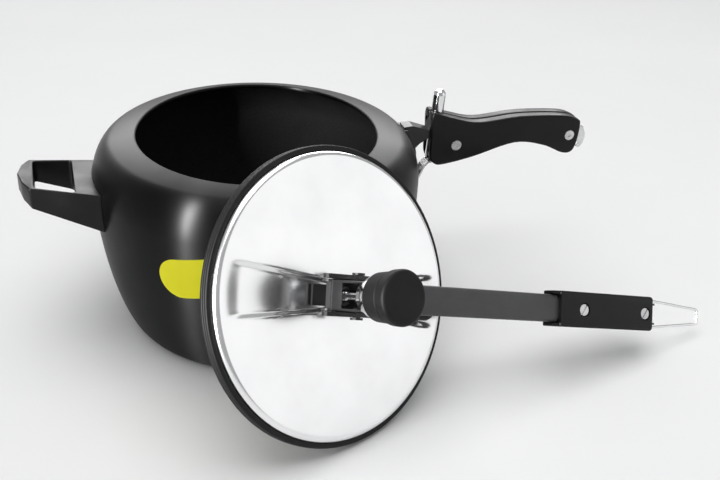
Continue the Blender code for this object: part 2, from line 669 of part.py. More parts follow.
def lid(body):
    """The stamped lid, its gasket, and the pieces fixed through it."""
    rim = LID_RADIUS
    flat = rim - LID_CORNER
    rings = [flat * k / 8 for k in range(8, 0, -1)]
    inner_corner = LID_CORNER - LID_SHEET
    top = [(0, 0)] + [(r, 0) for r in reversed(rings)]
    top += arc((flat, -LID_CORNER), LID_CORNER, 90, 0, 4)[1:]
    under = [(rim - LID_SHEET, -RIM_DEPTH)] + arc((flat, -LID_CORNER), inner_corner, 0, 90, 4)
    under += [(r, -LID_SHEET) for r in rings[1:]] + [(0, -LID_SHEET)]
    plate = applied(turned("lid_plate", top + [(rim, -RIM_DEPTH)] + under, STAINLESS, body, steps=64))
    for vert in plate.data.vertices:
        if vert.co.z > -LID_SHEET * 1.5:
            vert.co.z -= trough(vert.co.x, vert.co.y)
    oval(plate)
    vent_hole = rod("vent_hole", TUBE_RADIUS + GAP, (0, 0, -0.01), (0, 0, 0.01), parent=body)
    valve_hole = rod("valve_hole", VALVE_RADIUS + GAP, (*VALVE_AT, -0.01), (*VALVE_AT, 0.01), parent=body)
    cut(plate, vent_hole, valve_hole)
    smooth(plate)

    inner = rim + GAP
    outer = rim + GASKET_WIDTH
    high = -LID_CORNER + 0.0003
    low = -RIM_DEPTH - GASKET_FOOT
    section = [(inner, high)] + arc((outer - 0.001, high - 0.001), 0.001, 90, 0, 2)
    section += arc((outer - 0.001, low + 0.001), 0.001, 0, -90, 2)
    lip = rim - GASKET_LIP
    section += [(lip, low), (lip, -RIM_DEPTH - GAP), (inner, -RIM_DEPTH - GAP)]
    oval(turned("lid_gasket", section, RUBBER, body, steps=56, ring=True))

    below = -TROUGH_DEPTH - LID_SHEET - GAP
    tube = turned("vent_tube", [
        (NOZZLE_RADIUS - 0.0008, NOZZLE_TOP), (NOZZLE_RADIUS, NOZZLE_TOP - 0.001),
        (NOZZLE_RADIUS, TUBE_SHOULDER), (TUBE_RADIUS, TUBE_SHOULDER), (TUBE_RADIUS, below - TUBE_BELOW),
        (VENT_BORE, below - TUBE_BELOW), (VENT_BORE, NOZZLE_TOP)], CHROME, body, steps=24, ring=True)
    smooth(tube)
    plate_top = GAP + BASE_PLATE
    hollow = TUBE_RADIUS + GAP
    collar_top = plate_top + GAP + COLLAR_HEIGHT
    turned("vent_collar", [
        (hollow, collar_top), (COLLAR_RADIUS - 0.0006, collar_top), (COLLAR_RADIUS, collar_top - 0.0006),
        (COLLAR_RADIUS, plate_top + GAP), (hollow, plate_top + GAP)], CHROME, body, steps=24, ring=True)
    turned("vent_washer", [
        (hollow, below), (WASHER_RADIUS, below), (WASHER_RADIUS, below - WASHER_THICK),
        (hollow, below - WASHER_THICK)],
        RUBBER, body, steps=24, ring=True)
    nut_top = below - WASHER_THICK - GAP
    nut = rod("vent_nut", VENT_NUT_RADIUS, (0, 0, nut_top - VENT_NUT_THICK), (0, 0, nut_top),
              ZINC, body, sides=6)
    cut(nut, rod("vent_nut_bore", hollow, (0, 0, -0.03), (0, 0, 0.0), parent=body))

    safety_valve(body, below)
    bracket(body)


def safety_valve(body, below):
    """The fusible safety plug, its nut under the lid and its soft cap."""
    x, y = VALVE_AT
    floor = -TROUGH_DEPTH + 2 * GAP
    valve = turned("safety_valve_body", [
        (0, VALVE_TOP), (VALVE_FLANGE - 0.0025, VALVE_TOP),
        (VALVE_FLANGE, floor + 0.002), (VALVE_FLANGE, floor),
        (VALVE_RADIUS, floor), (VALVE_RADIUS, below - 0.0055), (0, below - 0.0055)], ZINC, body, steps=24)
    valve.location = (x, y, 0)
    cap = turned("safety_valve_cap", [
        (0, 0.0092), (0.0045, 0.0088), (VALVE_CAP - 0.001, 0.0068), (VALVE_CAP, 0.0045),
        (VALVE_CAP, floor + 0.0004), (VALVE_FLANGE + GAP, floor + 0.0004),
        (VALVE_FLANGE + GAP, VALVE_TOP + GAP), (0, VALVE_TOP + GAP)], RUBBER, body, steps=24)
    cap.location = (x, y, 0)
    nut = rod("safety_valve_nut", VALVE_NUT_RADIUS, (x, y, below - VALVE_NUT_THICK), (x, y, below),
              ZINC, body, sides=6)
    cut(nut, rod("valve_nut_bore", VALVE_RADIUS + GAP, (x, y, -0.03), (x, y, 0.01), parent=body))


def bracket(body):
    """The U-shaped bracket that carries the bar, with its tab, and the two pivot rivets."""
    inner = BAR_HALF + 0.0006
    outer = inner + CHEEK_THICK
    top = GAP + BASE_PLATE
    plate = block("bar_bracket", (BRACKET_BACK, -outer, GAP), (BRACKET_FRONT, outer, top), BLACK_STEEL, body)
    tab = block("bracket_tab", (-0.0225, -TAB_HALF, GAP), (BRACKET_BACK + 0.001, TAB_HALF, top), parent=body)
    side = [(BRACKET_BACK, GAP), (BRACKET_FRONT, GAP), (BRACKET_FRONT, 0.016)]
    side += arc((0.012, 0.0180), 0.0080, 20, 80, 3)
    side += arc((-0.0265, 0.0235), 0.0035, 90, 250, 5)
    side += [(-0.0200, 0.0185), (-0.009, 0.009)]
    cheeks = [
        extruded("bracket_cheek_left", side, inner, outer, parent=body),
        extruded("bracket_cheek_right", side, -outer, -inner, parent=body)]
    join(plate, tab, *cheeks)
    vent = rod("bracket_vent_hole", TUBE_RADIUS + GAP, (0, 0, -0.01), (0, 0, 0.01), parent=body)
    holes = rod("bracket_rivet_holes", RIVET_RADIUS + GAP, (0, -0.03, PIVOT_HEIGHT), (0, 0.03, PIVOT_HEIGHT),
                parent=body)
    cut(plate, vent, holes)
    rivet_end = BAR_HALF - BAR_SHEET - 0.0008
    for label, sign in (("left", 1), ("right", -1)):
        rivet = rod(f"pivot_rivet_{label}", RIVET_RADIUS, (0, sign * rivet_end, PIVOT_HEIGHT),
                    (0, sign * (outer + 0.0008), PIVOT_HEIGHT), BLACK_STEEL, body)
        head = rod(f"pivot_head_{label}", RIVET_HEAD, (0, sign * (outer + GAP), PIVOT_HEIGHT),
                   (0, sign * (outer + 0.0018), PIVOT_HEIGHT), parent=body)
        join(rivet, head)


# ---- lid bar, in its own frame: the pivot is the origin, X runs along the bar ----
def lid_bar(body):
    """The pressed steel channel with its window, its narrow tang and the two ears for the loop."""
    full = GRIP_START - 0.0005
    end = GRIP_START + GRIP_LENGTH
    inside = BAR_HALF - BAR_SHEET
    under = BAR_TOP - BAR_SHEET
    bar = block("lid_bar", (BAR_INNER_END, -BAR_HALF, -BAR_DEEP), (full, BAR_HALF, BAR_TOP),
                GREY_STEEL, body)
    tang = block("bar_tang", (full - 0.004, -TANG_HALF, 0), (end + 0.0005, TANG_HALF, BAR_TOP), parent=body)
    lugs = rod("bar_lugs", LUG_RADIUS, (BAR_INNER_END, -BAR_HALF, LUG_HEIGHT),
               (BAR_INNER_END, BAR_HALF, LUG_HEIGHT), parent=body)
    ears = rod("loop_ears", EAR_RADIUS, (LOOP_PIVOT, -TANG_HALF, LOOP_PIVOT_HEIGHT),
               (LOOP_PIVOT, TANG_HALF, LOOP_PIVOT_HEIGHT), parent=body)
    ear_roots = block("ear_roots", (end - 0.004, -TANG_HALF, LOOP_PIVOT_HEIGHT - EAR_RADIUS),
                      (LOOP_PIVOT, TANG_HALF, LOOP_PIVOT_HEIGHT + EAR_RADIUS), parent=body)
    join(bar, tang, lugs, ears, ear_roots)
    shallow = block("bar_shallow", (BAR_SHALLOW_FROM, -0.02, -0.02), (0.3, 0.02, 0), parent=body)
    channel = block("bar_channel", (BAR_INNER_END - 0.02, -inside, -0.02), (full - 0.002, inside, under),
                    parent=body)
    lug_gap = block("lug_gap", (-0.06, -inside, -0.02), (BAR_INNER_END - 0.0001, inside, 0.02), parent=body)
    narrow = TANG_HALF - BAR_SHEET
    tang_channel = block("tang_channel", (full - 0.003, -narrow, -0.02), (end - 0.002, narrow, under),
                         parent=body)
    ear_gap = block("ear_gap", (end + 0.0004, -narrow, -0.02), (0.3, narrow, 0.02), parent=body)
    window = block("bar_window", (-WINDOW_HALF, -inside + 0.0001, 0), (WINDOW_HALF, inside - 0.0001, 0.03),
                   parent=body)
    pivot = rod("bar_pivot_holes", RIVET_RADIUS + RUNNING, (0, -0.02, 0), (0, 0.02, 0), parent=body)
    wire = rod("loop_holes", LOOP_WIRE + RUNNING, (LOOP_PIVOT, -0.02, LOOP_PIVOT_HEIGHT),
               (LOOP_PIVOT, 0.02, LOOP_PIVOT_HEIGHT), parent=body)
    cutters = [shallow, channel, lug_gap, tang_channel, ear_gap, window, pivot, wire]
    screws = grip_screw_places()
    for label, x in screws:
        cutters.append(rod(f"tang_screw_hole_{label}", SCREW_SHANK + GAP, (x, 0, 0), (x, 0, 0.02),
                           parent=body))
    cut(bar, *cutters)


def grip_screw_places():
    """Where the two grip screws stand along the bar."""
    return (("inner", GRIP_START + 0.0235), ("outer", GRIP_START + GRIP_LENGTH - 0.008))


def bar_grip(body):
    """The moulded grip over the tang, with its forked inner end and its two slotted screws."""
    start, end = GRIP_START, GRIP_START + GRIP_LENGTH
    low, high = GRIP_LOW, GRIP_HIGH
    grip = block("bar_grip", (start, -GRIP_HALF, low), (end, GRIP_HALF, high), PHENOLIC, body,
                 bevel=GRIP_EDGE)
    prongs = []
    for label, sign in (("left", 1), ("right", -1)):
        a, b = sorted((sign * (BAR_HALF + 0.0005), sign * (GRIP_HALF - 0.0002)))
        prongs.append(block(f"grip_prong_{label}", (start - 0.006, a, 0.002),
                            (start + 0.003, b, high - 0.001), parent=body))
    join(grip, *prongs)
    pocket = block("grip_pocket", (start - 0.01, -TANG_HALF - GAP, -GAP),
                   (end + 0.01, TANG_HALF + GAP, BAR_TOP + GAP), parent=body)
    mouth = block("grip_mouth", (start - 0.01, -BAR_HALF - GAP, -0.0055), (start + GAP, BAR_HALF + GAP, 0.02),
                  parent=body)
    cutters = [pocket, mouth]
    head_low = BAR_TOP + GAP
    for label, x in grip_screw_places():
        cutters.append(rod(f"grip_seat_{label}", SCREW_HEAD + GRIP_SEAT, (x, 0, BAR_TOP), (x, 0, 0.03),
                           parent=body))
        cutters.append(rod(f"grip_screw_hole_{label}", SCREW_SHANK + GAP, (x, 0, -0.004), (x, 0, 0.02),
                           parent=body))
        screw = rod(f"grip_screw_{label}", SCREW_SHANK, (x, 0, -0.0035), (x, 0, head_low + 0.0005),
                    ZINC, body)
        head = rod(f"grip_head_{label}", SCREW_HEAD, (x, 0, head_low), (x, 0, high - 0.0006), parent=body)
        slot = block(f"grip_slot_{label}", (x - 0.01, -0.0005, high - 0.0016),
                     (x + 0.01, 0.0005, high + 0.01), parent=body)
        slot.data.transform(Matrix.Translation((x, 0, 0)) @ Matrix.Rotation(math.radians(55), 4, "Z")
                            @ Matrix.Translation((-x, 0, 0)))
        cut(join(screw, head), slot)
    cut(grip, *cutters)


def hook_loop(body):
    """The closed wire loop: a wide side through the ears and a narrow rounded far side."""
    wide, narrow = TANG_HALF + 0.0021, 0.0056
    far = LOOP_LENGTH
    corner = 0.002
    near_corner = 0.0012
    half = arc((near_corner, wide - near_corner), near_corner, 180, 90, 2)
    half += arc((far - corner, narrow - corner), corner, 80, 0, 3)
    route = half + [(x, -y) for x, y in reversed(half)]
    curve = bpy.data.curves.new("hook_loop", "CURVE")
    curve.dimensions = "3D"
    curve.bevel_depth = LOOP_WIRE
    curve.bevel_resolution = 2
    spline = curve.splines.new("POLY")
    spline.points.add(len(route) - 1)
    spline.use_cyclic_u = True
    for point, (x, y) in zip(spline.points, route):
        point.co = (x, y, 0, 1)
    source = bpy.data.objects.new("loop_route", curve)
    CUTTERS.objects.link(source)
    bpy.context.view_layer.update()
    graph = bpy.context.evaluated_depsgraph_get()
    mesh = bpy.data.meshes.new_from_object(source.evaluated_get(graph))
    bpy.data.objects.remove(source, do_unlink=True)
    loop = add("hook_loop", mesh, STAINLESS, body)
    smooth(loop, 50)


# ---- pressure weight --------------------------------------------------------
def pressure_weight(body):
    """The metal core that sits on the vent nozzle and the moulded cover over it."""
    foot = TUBE_SHOULDER + GAP
    step, skirt = foot + WEIGHT_STEP, foot + WEIGHT_SKIRT_RISE
    roof = WEIGHT_TOP - WEIGHT_ROOF
    turned("weight_core", [
        (0, roof), (WEIGHT_CORE, roof), (WEIGHT_CORE, skirt - GAP),
        (WEIGHT_FOOT + 0.0022, skirt - GAP), (WEIGHT_FOOT + 0.0022, step + 0.0006), (WEIGHT_FOOT, step),
        (WEIGHT_FOOT, foot + 0.0008), (WEIGHT_FOOT - 0.0008, foot), (NOZZLE_RADIUS + RUNNING, foot),
        (NOZZLE_RADIUS + RUNNING, NOZZLE_TOP + 0.002), (0, NOZZLE_TOP + 0.003)], CHROME, body, steps=32)
    rim = WEIGHT_CAP
    groove = skirt + WEIGHT_GROOVE
    turned("weight_cap", [
        (0, WEIGHT_TOP), (rim - 0.0022, WEIGHT_TOP), (rim - 0.0007, WEIGHT_TOP - 0.0007),
        (rim, WEIGHT_TOP - 0.0022), (rim - 0.0003, groove + 0.0018), (WEIGHT_SKIRT, groove + 0.0012),
        (WEIGHT_SKIRT, groove), (WEIGHT_SKIRT + 0.0008, groove - 0.0006), (WEIGHT_SKIRT, skirt + 0.0006),
        (WEIGHT_SKIRT - 0.0006, skirt), (WEIGHT_CORE + GAP, skirt),
        (WEIGHT_CORE + GAP, roof + GAP), (0, roof + GAP)],
        PHENOLIC, body, steps=32)


# ---- assembly ---------------------------------------------------------------
def lid_centre(normal):
    """The middle of the lid's face: its rim stands on the floor and its back leans on the pot."""
    sideways = math.hypot(normal.x, normal.y)
    facing = Vector((normal.x, normal.y, 0)) / sideways
    aside = Vector((-facing.y, facing.x, 0))
    back = RIM_DEPTH + GASKET_FOOT
    height = sideways * (LID_RADIUS + GASKET_WIDTH) + normal.z * back + FLOOR_GAP
    reach = max(sideways * r + normal.z * z for r, z in pot_side())
    out = (reach + back - LEAN_NEST - normal.z * height) / sideways
    return facing * out + aside * LID_ASIDE + Vector((0, 0, height))


def lid_matrix():
    """The lid's frame: Z is its normal, X its bar's direction in the face."""
    normal = LID_NORMAL.normalized()
    level = Vector((0, 0, 1)).cross(normal).normalized()
    upward = normal.cross(level)
    along = level * math.cos(LID_TURN) + upward * math.sin(LID_TURN)
    across = normal.cross(along)
    turn = Matrix((along, across, normal)).transposed().to_4x4()
    return Matrix.Translation(lid_centre(normal)) @ turn


def main():
    pot = pot_body()
    clearance = pot_clearance()
    helper_handle(clearance)
    long_handle()
    rivets(handle_bracket(pot, clearance))

    lid_body = frame("lid_frame", lid_matrix())
    lid(lid_body)
    weight_body = frame("weight_frame", Matrix(), lid_body)
    pressure_weight(weight_body)
    tilt = Matrix.Translation((0, 0, PIVOT_HEIGHT)) @ Matrix.Rotation(-BAR_TILT, 4, "Y")
    bar_body = frame("bar_frame", tilt, lid_body)
    lid_bar(bar_body)
    bar_grip(bar_body)
    loop_body = frame("loop_frame", Matrix.Translation((LOOP_PIVOT, 0, LOOP_PIVOT_HEIGHT)), bar_body)
    hook_loop(loop_body)


main()
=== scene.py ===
# %% [markdown]
# # A stovetop pressure cooker, dressed over its CAD frame
# The imported frame holds every piece at its real size, in metres: the pot stands on the floor with its long
# handle along +X, and the lid leans against it at the front. This script keeps the small pieces as they are,
# rebuilds the large ones with finer curves, and gives every surface a finish made of nodes.
# We load the frame first. The finished model has to stay inside it.

# %% Load the frame
import json
import math
import bmesh
import bpy
from mathutils import Matrix, Vector


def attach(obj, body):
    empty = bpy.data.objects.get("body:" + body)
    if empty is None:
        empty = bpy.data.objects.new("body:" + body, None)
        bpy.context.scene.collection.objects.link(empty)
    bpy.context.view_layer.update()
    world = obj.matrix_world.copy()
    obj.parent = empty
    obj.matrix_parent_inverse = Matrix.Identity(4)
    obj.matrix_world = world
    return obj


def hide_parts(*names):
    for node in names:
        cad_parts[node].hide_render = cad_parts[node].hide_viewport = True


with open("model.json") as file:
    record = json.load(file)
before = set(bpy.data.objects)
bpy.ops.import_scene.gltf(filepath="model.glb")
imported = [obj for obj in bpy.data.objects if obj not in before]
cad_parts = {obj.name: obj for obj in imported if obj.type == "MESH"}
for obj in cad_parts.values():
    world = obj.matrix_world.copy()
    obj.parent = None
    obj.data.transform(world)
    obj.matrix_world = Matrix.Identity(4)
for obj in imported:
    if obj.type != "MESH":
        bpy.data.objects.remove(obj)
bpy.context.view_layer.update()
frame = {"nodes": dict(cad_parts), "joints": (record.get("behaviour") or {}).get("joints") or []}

nodes = frame["nodes"]
joints = {joint["name"]: joint for joint in frame["joints"]}

# %% [markdown]
# ## Where the lid, the bar and the loop stand
# The lid, its bar and the wire loop are built in frames of their own, so that each can be drawn flat and
# level. The joints already say where those frames are: the weight lifts off along the lid's normal, and the
# bar rocks about an axis across the lid. Reading them keeps this script and the frame in step.

# %% Frames of the moving bodies
PIVOT_HEIGHT = 0.0205
BAR_TILT = math.radians(7.4)


def frame_of(origin, x_axis, z_axis):
    """A matrix with its X and Z along two directions."""
    z = Vector(z_axis).normalized()
    y = z.cross(Vector(x_axis)).normalized()
    x = y.cross(z)
    turn = Matrix((x, y, z)).transposed().to_4x4()
    return Matrix.Translation(origin) @ turn


lid_out = Vector(joints["weight_lift"]["axis"]).normalized()
lid_across = -Vector(joints["bar_tilt"]["axis"]).normalized()
pivot = Vector(joints["bar_tilt"]["pos_m"])
LID = frame_of(pivot - lid_out * PIVOT_HEIGHT, lid_across.cross(lid_out), lid_out)
BAR = LID @ Matrix.Translation((0, 0, PIVOT_HEIGHT)) @ Matrix.Rotation(-BAR_TILT, 4, "Y")
LOOP = BAR.copy()
LOOP.translation = Vector(joints["loop_swing"]["pos_m"])
print("lid centre", [round(v, 4) for v in LID.translation], "bar pivot", [round(v, 4) for v in pivot])

# %% [markdown]
# ## The camera
# The cooker is seen from above and a little to its left, with a long lens, so that the mouth of the pot shows
# as a wide oval. The camera is placed by its own three axes, which also gives it its slight roll.

# %% Camera
EYE = Vector((-0.1414, -0.7070, 0.4587))
LOOK = Vector((0.2666, 0.8323, -0.4859))
RIGHT = Vector((0.9576, -0.2858, 0.0358))
LENS = 51.37
SENSOR = 36
camera_data = bpy.data.cameras.new("camera")
camera_data.lens = LENS
camera_data.sensor_width = SENSOR
camera = bpy.data.objects.new("camera", camera_data)
bpy.context.scene.collection.objects.link(camera)
camera.matrix_world = frame_of(EYE, RIGHT, -LOOK)
bpy.context.scene.camera = camera
print("camera", round(EYE.length, 3), "m from the pot's base")

# %% [markdown]
# ## Finishes: one small kit of nodes
# Every finish here is a Principled shader with three things laid over it: a colour that drifts a little, a
# roughness that is never even, and a fine relief. What is even all over a surface is set straight on the
# shader.

# %% Node kit
def put(tree, kind, settings=None, **inputs):
    """Add a node and set or link its inputs by name."""
    node = tree.nodes.new(kind)
    for key, value in (settings or {}).items():
        setattr(node, key, value)
    for key, value in inputs.items():
        socket = node.inputs[key.replace("_", " ")]
        if isinstance(value, bpy.types.NodeSocket):
            tree.links.new(value, socket)
        else:
            socket.default_value = value
    return node


def place(tree, stretch=(1, 1, 1), level=None):
    """The piece's own coordinates, laid level in a body's frame if one is given, then stretched."""
    spot = put(tree, "ShaderNodeTexCoord").outputs["Object"]
    if level is not None:
        back = level.inverted()
        spot = put(tree, "ShaderNodeMapping", Vector=spot, Location=back.translation,
                   Rotation=back.to_euler()).outputs["Vector"]
    return put(tree, "ShaderNodeMapping", Vector=spot, Scale=stretch).outputs["Vector"]


def noise(tree, scale, detail=4.0, stretch=(1, 1, 1), rough=0.55, level=None):
    """A cloudy value from 0 to 1."""
    node = put(tree, "ShaderNodeTexNoise", Vector=place(tree, stretch, level), Scale=scale, Detail=detail,
               Roughness=rough)
    return node.outputs["Fac"]


def between(tree, value, low, high, start=0.3, end=0.7):
    """Spread a value over a new range."""
    node = put(tree, "ShaderNodeMapRange", Value=value, From_Min=start, From_Max=end, To_Min=low, To_Max=high)
    return node.outputs["Result"]


def tint(tree, value, dark, light, start=0.3, end=0.7):
    """Go from one colour to another as a value rises."""
    ramp = put(tree, "ShaderNodeValToRGB", Fac=value)
    ramp.color_ramp.elements[0].position = start
    ramp.color_ramp.elements[1].position = end
    ramp.color_ramp.elements[0].color = (*dark, 1)
    ramp.color_ramp.elements[1].color = (*light, 1)
    return ramp.outputs["Color"]


def relief(tree, layers):
    """Stack bumps, each a (height, strength, distance in metres)."""
    normal = None
    for height, strength, distance in layers:
        node = put(tree, "ShaderNodeBump", Height=height, Strength=strength, Distance=distance)
        if normal is not None:
            tree.links.new(normal, node.inputs["Normal"])
        normal = node.outputs["Normal"]
    return normal


def finish(name, metallic=0.0, specular=0.5, coat=0.0, coat_rough=0.1):
    """Start a finish and return it with its tree and its shader."""
    made = bpy.data.materials.new(name)
    made.use_nodes = True
    shader = made.node_tree.nodes["Principled BSDF"]
    shader.inputs["Metallic"].default_value = metallic
    shader.inputs["Specular IOR Level"].default_value = specular
    shader.inputs["Coat Weight"].default_value = coat
    shader.inputs["Coat Roughness"].default_value = coat_rough
    return made, made.node_tree, shader


def dress(tree, shader, colour, roughness, normal=None):
    """Link the varying colour, roughness and relief of a finish."""
    tree.links.new(colour, shader.inputs["Base Color"])
    tree.links.new(roughness, shader.inputs["Roughness"])
    if normal is not None:
        tree.links.new(normal, shader.inputs["Normal"])


# %% [markdown]
# ## Hard-anodised black
# The pot is spun aluminium with a thick black oxide skin. Outside it is satin, and the spinning left faint
# rings around it; inside it is matt and slightly speckled. A noise that is squeezed along Z gives the
# rings, and a very fine one gives the grain of the oxide.

# %% Pot finishes
def anodised_outside():
    made, tree, shader = finish("anodised_satin", specular=0.11)
    around = put(tree, "ShaderNodeTangent", {"direction_type": "RADIAL", "axis": "Z"})
    tree.links.new(around.outputs["Tangent"], shader.inputs["Tangent"])
    shader.inputs["Anisotropic"].default_value = 0.95
    shader.inputs["Anisotropic Rotation"].default_value = 0.25
    cloud = noise(tree, 9, 5)
    rings = noise(tree, 1.0, 3, stretch=(6, 6, 1500))
    grain = noise(tree, 2600, 2)
    rough = between(tree, noise(tree, 40, 6), 0.33, 0.37)
    normal = relief(tree, [(rings, 0.10, 0.00004), (grain, 0.18, 0.00003)])
    dress(tree, shader, tint(tree, cloud, (0.0035, 0.0036, 0.0038), (0.0055, 0.0056, 0.0060)), rough, normal)
    return made


def anodised_inside():
    made, tree, shader = finish("anodised_matt", metallic=0.1, specular=0.2)
    speck = noise(tree, 900, 5, rough=0.7)
    rough = between(tree, noise(tree, 60, 5), 0.62, 0.78)
    normal = relief(tree, [(speck, 0.5, 0.00012)])
    colour = tint(tree, speck, (0.006, 0.006, 0.0062), (0.020, 0.020, 0.021), 0.4, 0.72)
    dress(tree, shader, colour, rough, normal)
    return made


POT_OUTSIDE = anodised_outside()
POT_INSIDE = anodised_inside()
print("finishes:", POT_OUTSIDE.name, POT_INSIDE.name)

# %% [markdown]
# ## Moulded black phenolic
# Handles of this kind are pressed from a thermoset powder: hard, black, half glossy, with faint flow clouds
# and a skin that is not quite flat. Two noises of different size give the clouds and the skin, and a slow
# one makes the gloss uneven, as hands do.

# %% Phenolic finish
def moulded(name, gloss=0.34):
    made, tree, shader = finish(name, specular=0.20)
    cloud = noise(tree, 22, 6, rough=0.65)
    rough = between(tree, noise(tree, 55, 6), gloss - 0.05, gloss + 0.10)
    skin = noise(tree, 420, 3)
    grain = noise(tree, 3200, 2)
    normal = relief(tree, [(skin, 0.22, 0.00008), (grain, 0.15, 0.00003)])
    dress(tree, shader, tint(tree, cloud, (0.0035, 0.0035, 0.0037), (0.0070, 0.0070, 0.0073)), rough, normal)
    return made


PHENOLIC = moulded("phenolic_half_gloss")
PHENOLIC_MATT = moulded("phenolic_matt", 0.52)
print("finishes:", PHENOLIC.name, PHENOLIC_MATT.name)

# %% [markdown]
# ## Bright metals
# The lid is polished stainless steel, the post and the weight's foot are chrome plate, and the screws and
# rivets are zinc plate. They differ in how sharp their reflections are and in what breaks them up:
# polishing rings around the lid's centre, faint smudges on chrome, and a dull grain on zinc.

# %% Metal finishes
def polished_steel():
    made, tree, shader = finish("steel_polished", metallic=1.0)
    flat = place(tree, (1, 1, 0), LID)
    radius = put(tree, "ShaderNodeVectorMath", {"operation": "LENGTH"}, Vector=flat).outputs["Value"]
    rings = put(tree, "ShaderNodeTexNoise", {"noise_dimensions": "1D"}, W=radius, Scale=2600.0, Detail=3.0)
    haze = noise(tree, 26, 3, rough=0.5)
    rough = between(tree, haze, 0.15, 0.20)
    normal = relief(tree, [(rings.outputs["Fac"], 0.05, 0.00001), (noise(tree, 16, 0), 0.06, 0.0004)])
    dress(tree, shader, tint(tree, haze, (0.80, 0.80, 0.805), (0.88, 0.88, 0.885)), rough, normal)
    return made


def plated(name, dark, light, rough_low, rough_high, grain_depth):
    made, tree, shader = finish(name, metallic=1.0)
    smudge = noise(tree, 120, 5, rough=0.6)
    rough = between(tree, smudge, rough_low, rough_high)
    normal = relief(tree, [(noise(tree, 1800, 2), 0.15, grain_depth)])
    dress(tree, shader, tint(tree, smudge, dark, light), rough, normal)
    return made


STEEL = polished_steel()
CHROME = plated("chrome_plate", (0.70, 0.71, 0.72), (0.82, 0.82, 0.83), 0.05, 0.12, 0.00001)
ZINC = plated("zinc_plate", (0.42, 0.42, 0.43), (0.66, 0.66, 0.66), 0.22, 0.38, 0.00004)
STRIP = plated("strip_steel", (0.55, 0.55, 0.56), (0.74, 0.74, 0.745), 0.16, 0.28, 0.00002)
print("finishes:", STEEL.name, CHROME.name, ZINC.name, STRIP.name)

# %% [markdown]
# ## Paint, rubber and the label
# The bar carries a dark grey stoved paint with a fine pebbled skin, and its bracket a smoother black one. The
# sealing ring and the plug's cap are black rubber with a little bloom. The label is a plain yellow film.

# %% Paint, rubber and film finishes
def painted(name, dark, light, pebble, depth, rough_low, rough_high):
    made, tree, shader = finish(name, specular=0.45)
    cloud = noise(tree, 35, 5)
    skin = noise(tree, pebble, 3, rough=0.6)
    rough = between(tree, noise(tree, 90, 5), rough_low, rough_high)
    normal = relief(tree, [(skin, 0.55, depth), (noise(tree, 60, 2), 0.1, 0.0002)])
    dress(tree, shader, tint(tree, cloud, dark, light), rough, normal)
    return made


def rubber():
    made, tree, shader = finish("rubber_black", specular=0.22)
    bloom = noise(tree, 45, 6, rough=0.7)
    rough = between(tree, bloom, 0.42, 0.60)
    normal = relief(tree, [(noise(tree, 1400, 3), 0.3, 0.00004)])
    dress(tree, shader, tint(tree, bloom, (0.003, 0.003, 0.003), (0.008, 0.008, 0.0078)), rough, normal)
    return made


def label_film():
    made, tree, shader = finish("label_yellow_film", specular=0.15, coat=0.05, coat_rough=0.2)
    ink = noise(tree, 70, 4)
    rough = between(tree, noise(tree, 300, 3), 0.38, 0.5)
    normal = relief(tree, [(noise(tree, 900, 2), 0.12, 0.00003)])
    dress(tree, shader, tint(tree, ink, (0.98, 0.92, 0.004), (1.0, 0.95, 0.008)), rough, normal)
    return made


GREY_PAINT = painted("paint_grey_pebbled", (0.040, 0.040, 0.042), (0.060, 0.060, 0.062),
                     1500, 0.00012, 0.42, 0.55)
BLACK_PAINT = painted("paint_black_smooth", (0.008, 0.008, 0.009), (0.016, 0.016, 0.017),
                      800, 0.00005, 0.26, 0.38)
RUBBER = rubber()
LABEL = label_film()
print("finishes:", GREY_PAINT.name, BLACK_PAINT.name, RUBBER.name, LABEL.name)

# %% [markdown]
# ## The CAD pieces that stay
# Rivets, screws, nuts, the bracket, the tang and the vent tube already have the right shape. They only change
# finish: their material slot gets one from above.

# %% Finishes for the kept CAD nodes
KEPT = {
    ZINC: ["bracket_rivet_1", "bracket_rivet_2", "bracket_rivet_3",
           "handle_screw_inner", "handle_screw_outer",
           "handle_nut_inner", "handle_nut_outer", "helper_screw", "helper_stud", "safety_valve_body",
           "safety_valve_nut", "vent_nut", "grip_screw_inner", "grip_screw_outer"],
    CHROME: ["vent_tube", "vent_collar"],
    STRIP: ["handle_tang", "post_stay"],
    BLACK_PAINT: ["handle_bracket", "bar_bracket", "pivot_rivet_left", "pivot_rivet_right"],
    RUBBER: ["vent_washer", "safety_valve_cap"],
}
for made, names in KEPT.items():
    for name in names:
        nodes[name].data.materials.clear()
        nodes[name].data.materials.append(made)
        nodes[name].data.shade_smooth()
        nodes[name].data.set_sharp_from_angle(angle=math.radians(35))
print("kept CAD nodes:", sum(len(names) for names in KEPT.values()))

# %% [markdown]
# ## Helpers for turned pieces
# Most of the cooker is turned. A lathe here is a list of (radius, height) points, listed down the outer
# side, that is copied around Z. Real corners are never sharp, so the list is first run through a function
# that rounds every corner by a given amount.

# %% Lathe kit
def rounded(points, radius, closed=False, steps=4):
    """Round the corners of a line of points. A point may carry its own radius as a third value."""
    result = []
    count = len(points)
    for i, point in enumerate(points):
        here = Vector(point[:2])
        if not closed and i in (0, count - 1):
            result.append(tuple(here))
            continue
        back = Vector(points[i - 1][:2]) - here
        ahead = Vector(points[(i + 1) % count][:2]) - here
        reach = min(point[2] if len(point) > 2 else radius, 0.48 * back.length, 0.48 * ahead.length)
        if reach < 1e-6:
            result.append(tuple(here))
            continue
        first, last = here + back.normalized() * reach, here + ahead.normalized() * reach
        for k in range(steps + 1):
            t = k / steps
            result.append(tuple(first * (1 - t) ** 2 + here * 2 * t * (1 - t) + last * t * t))
    return result


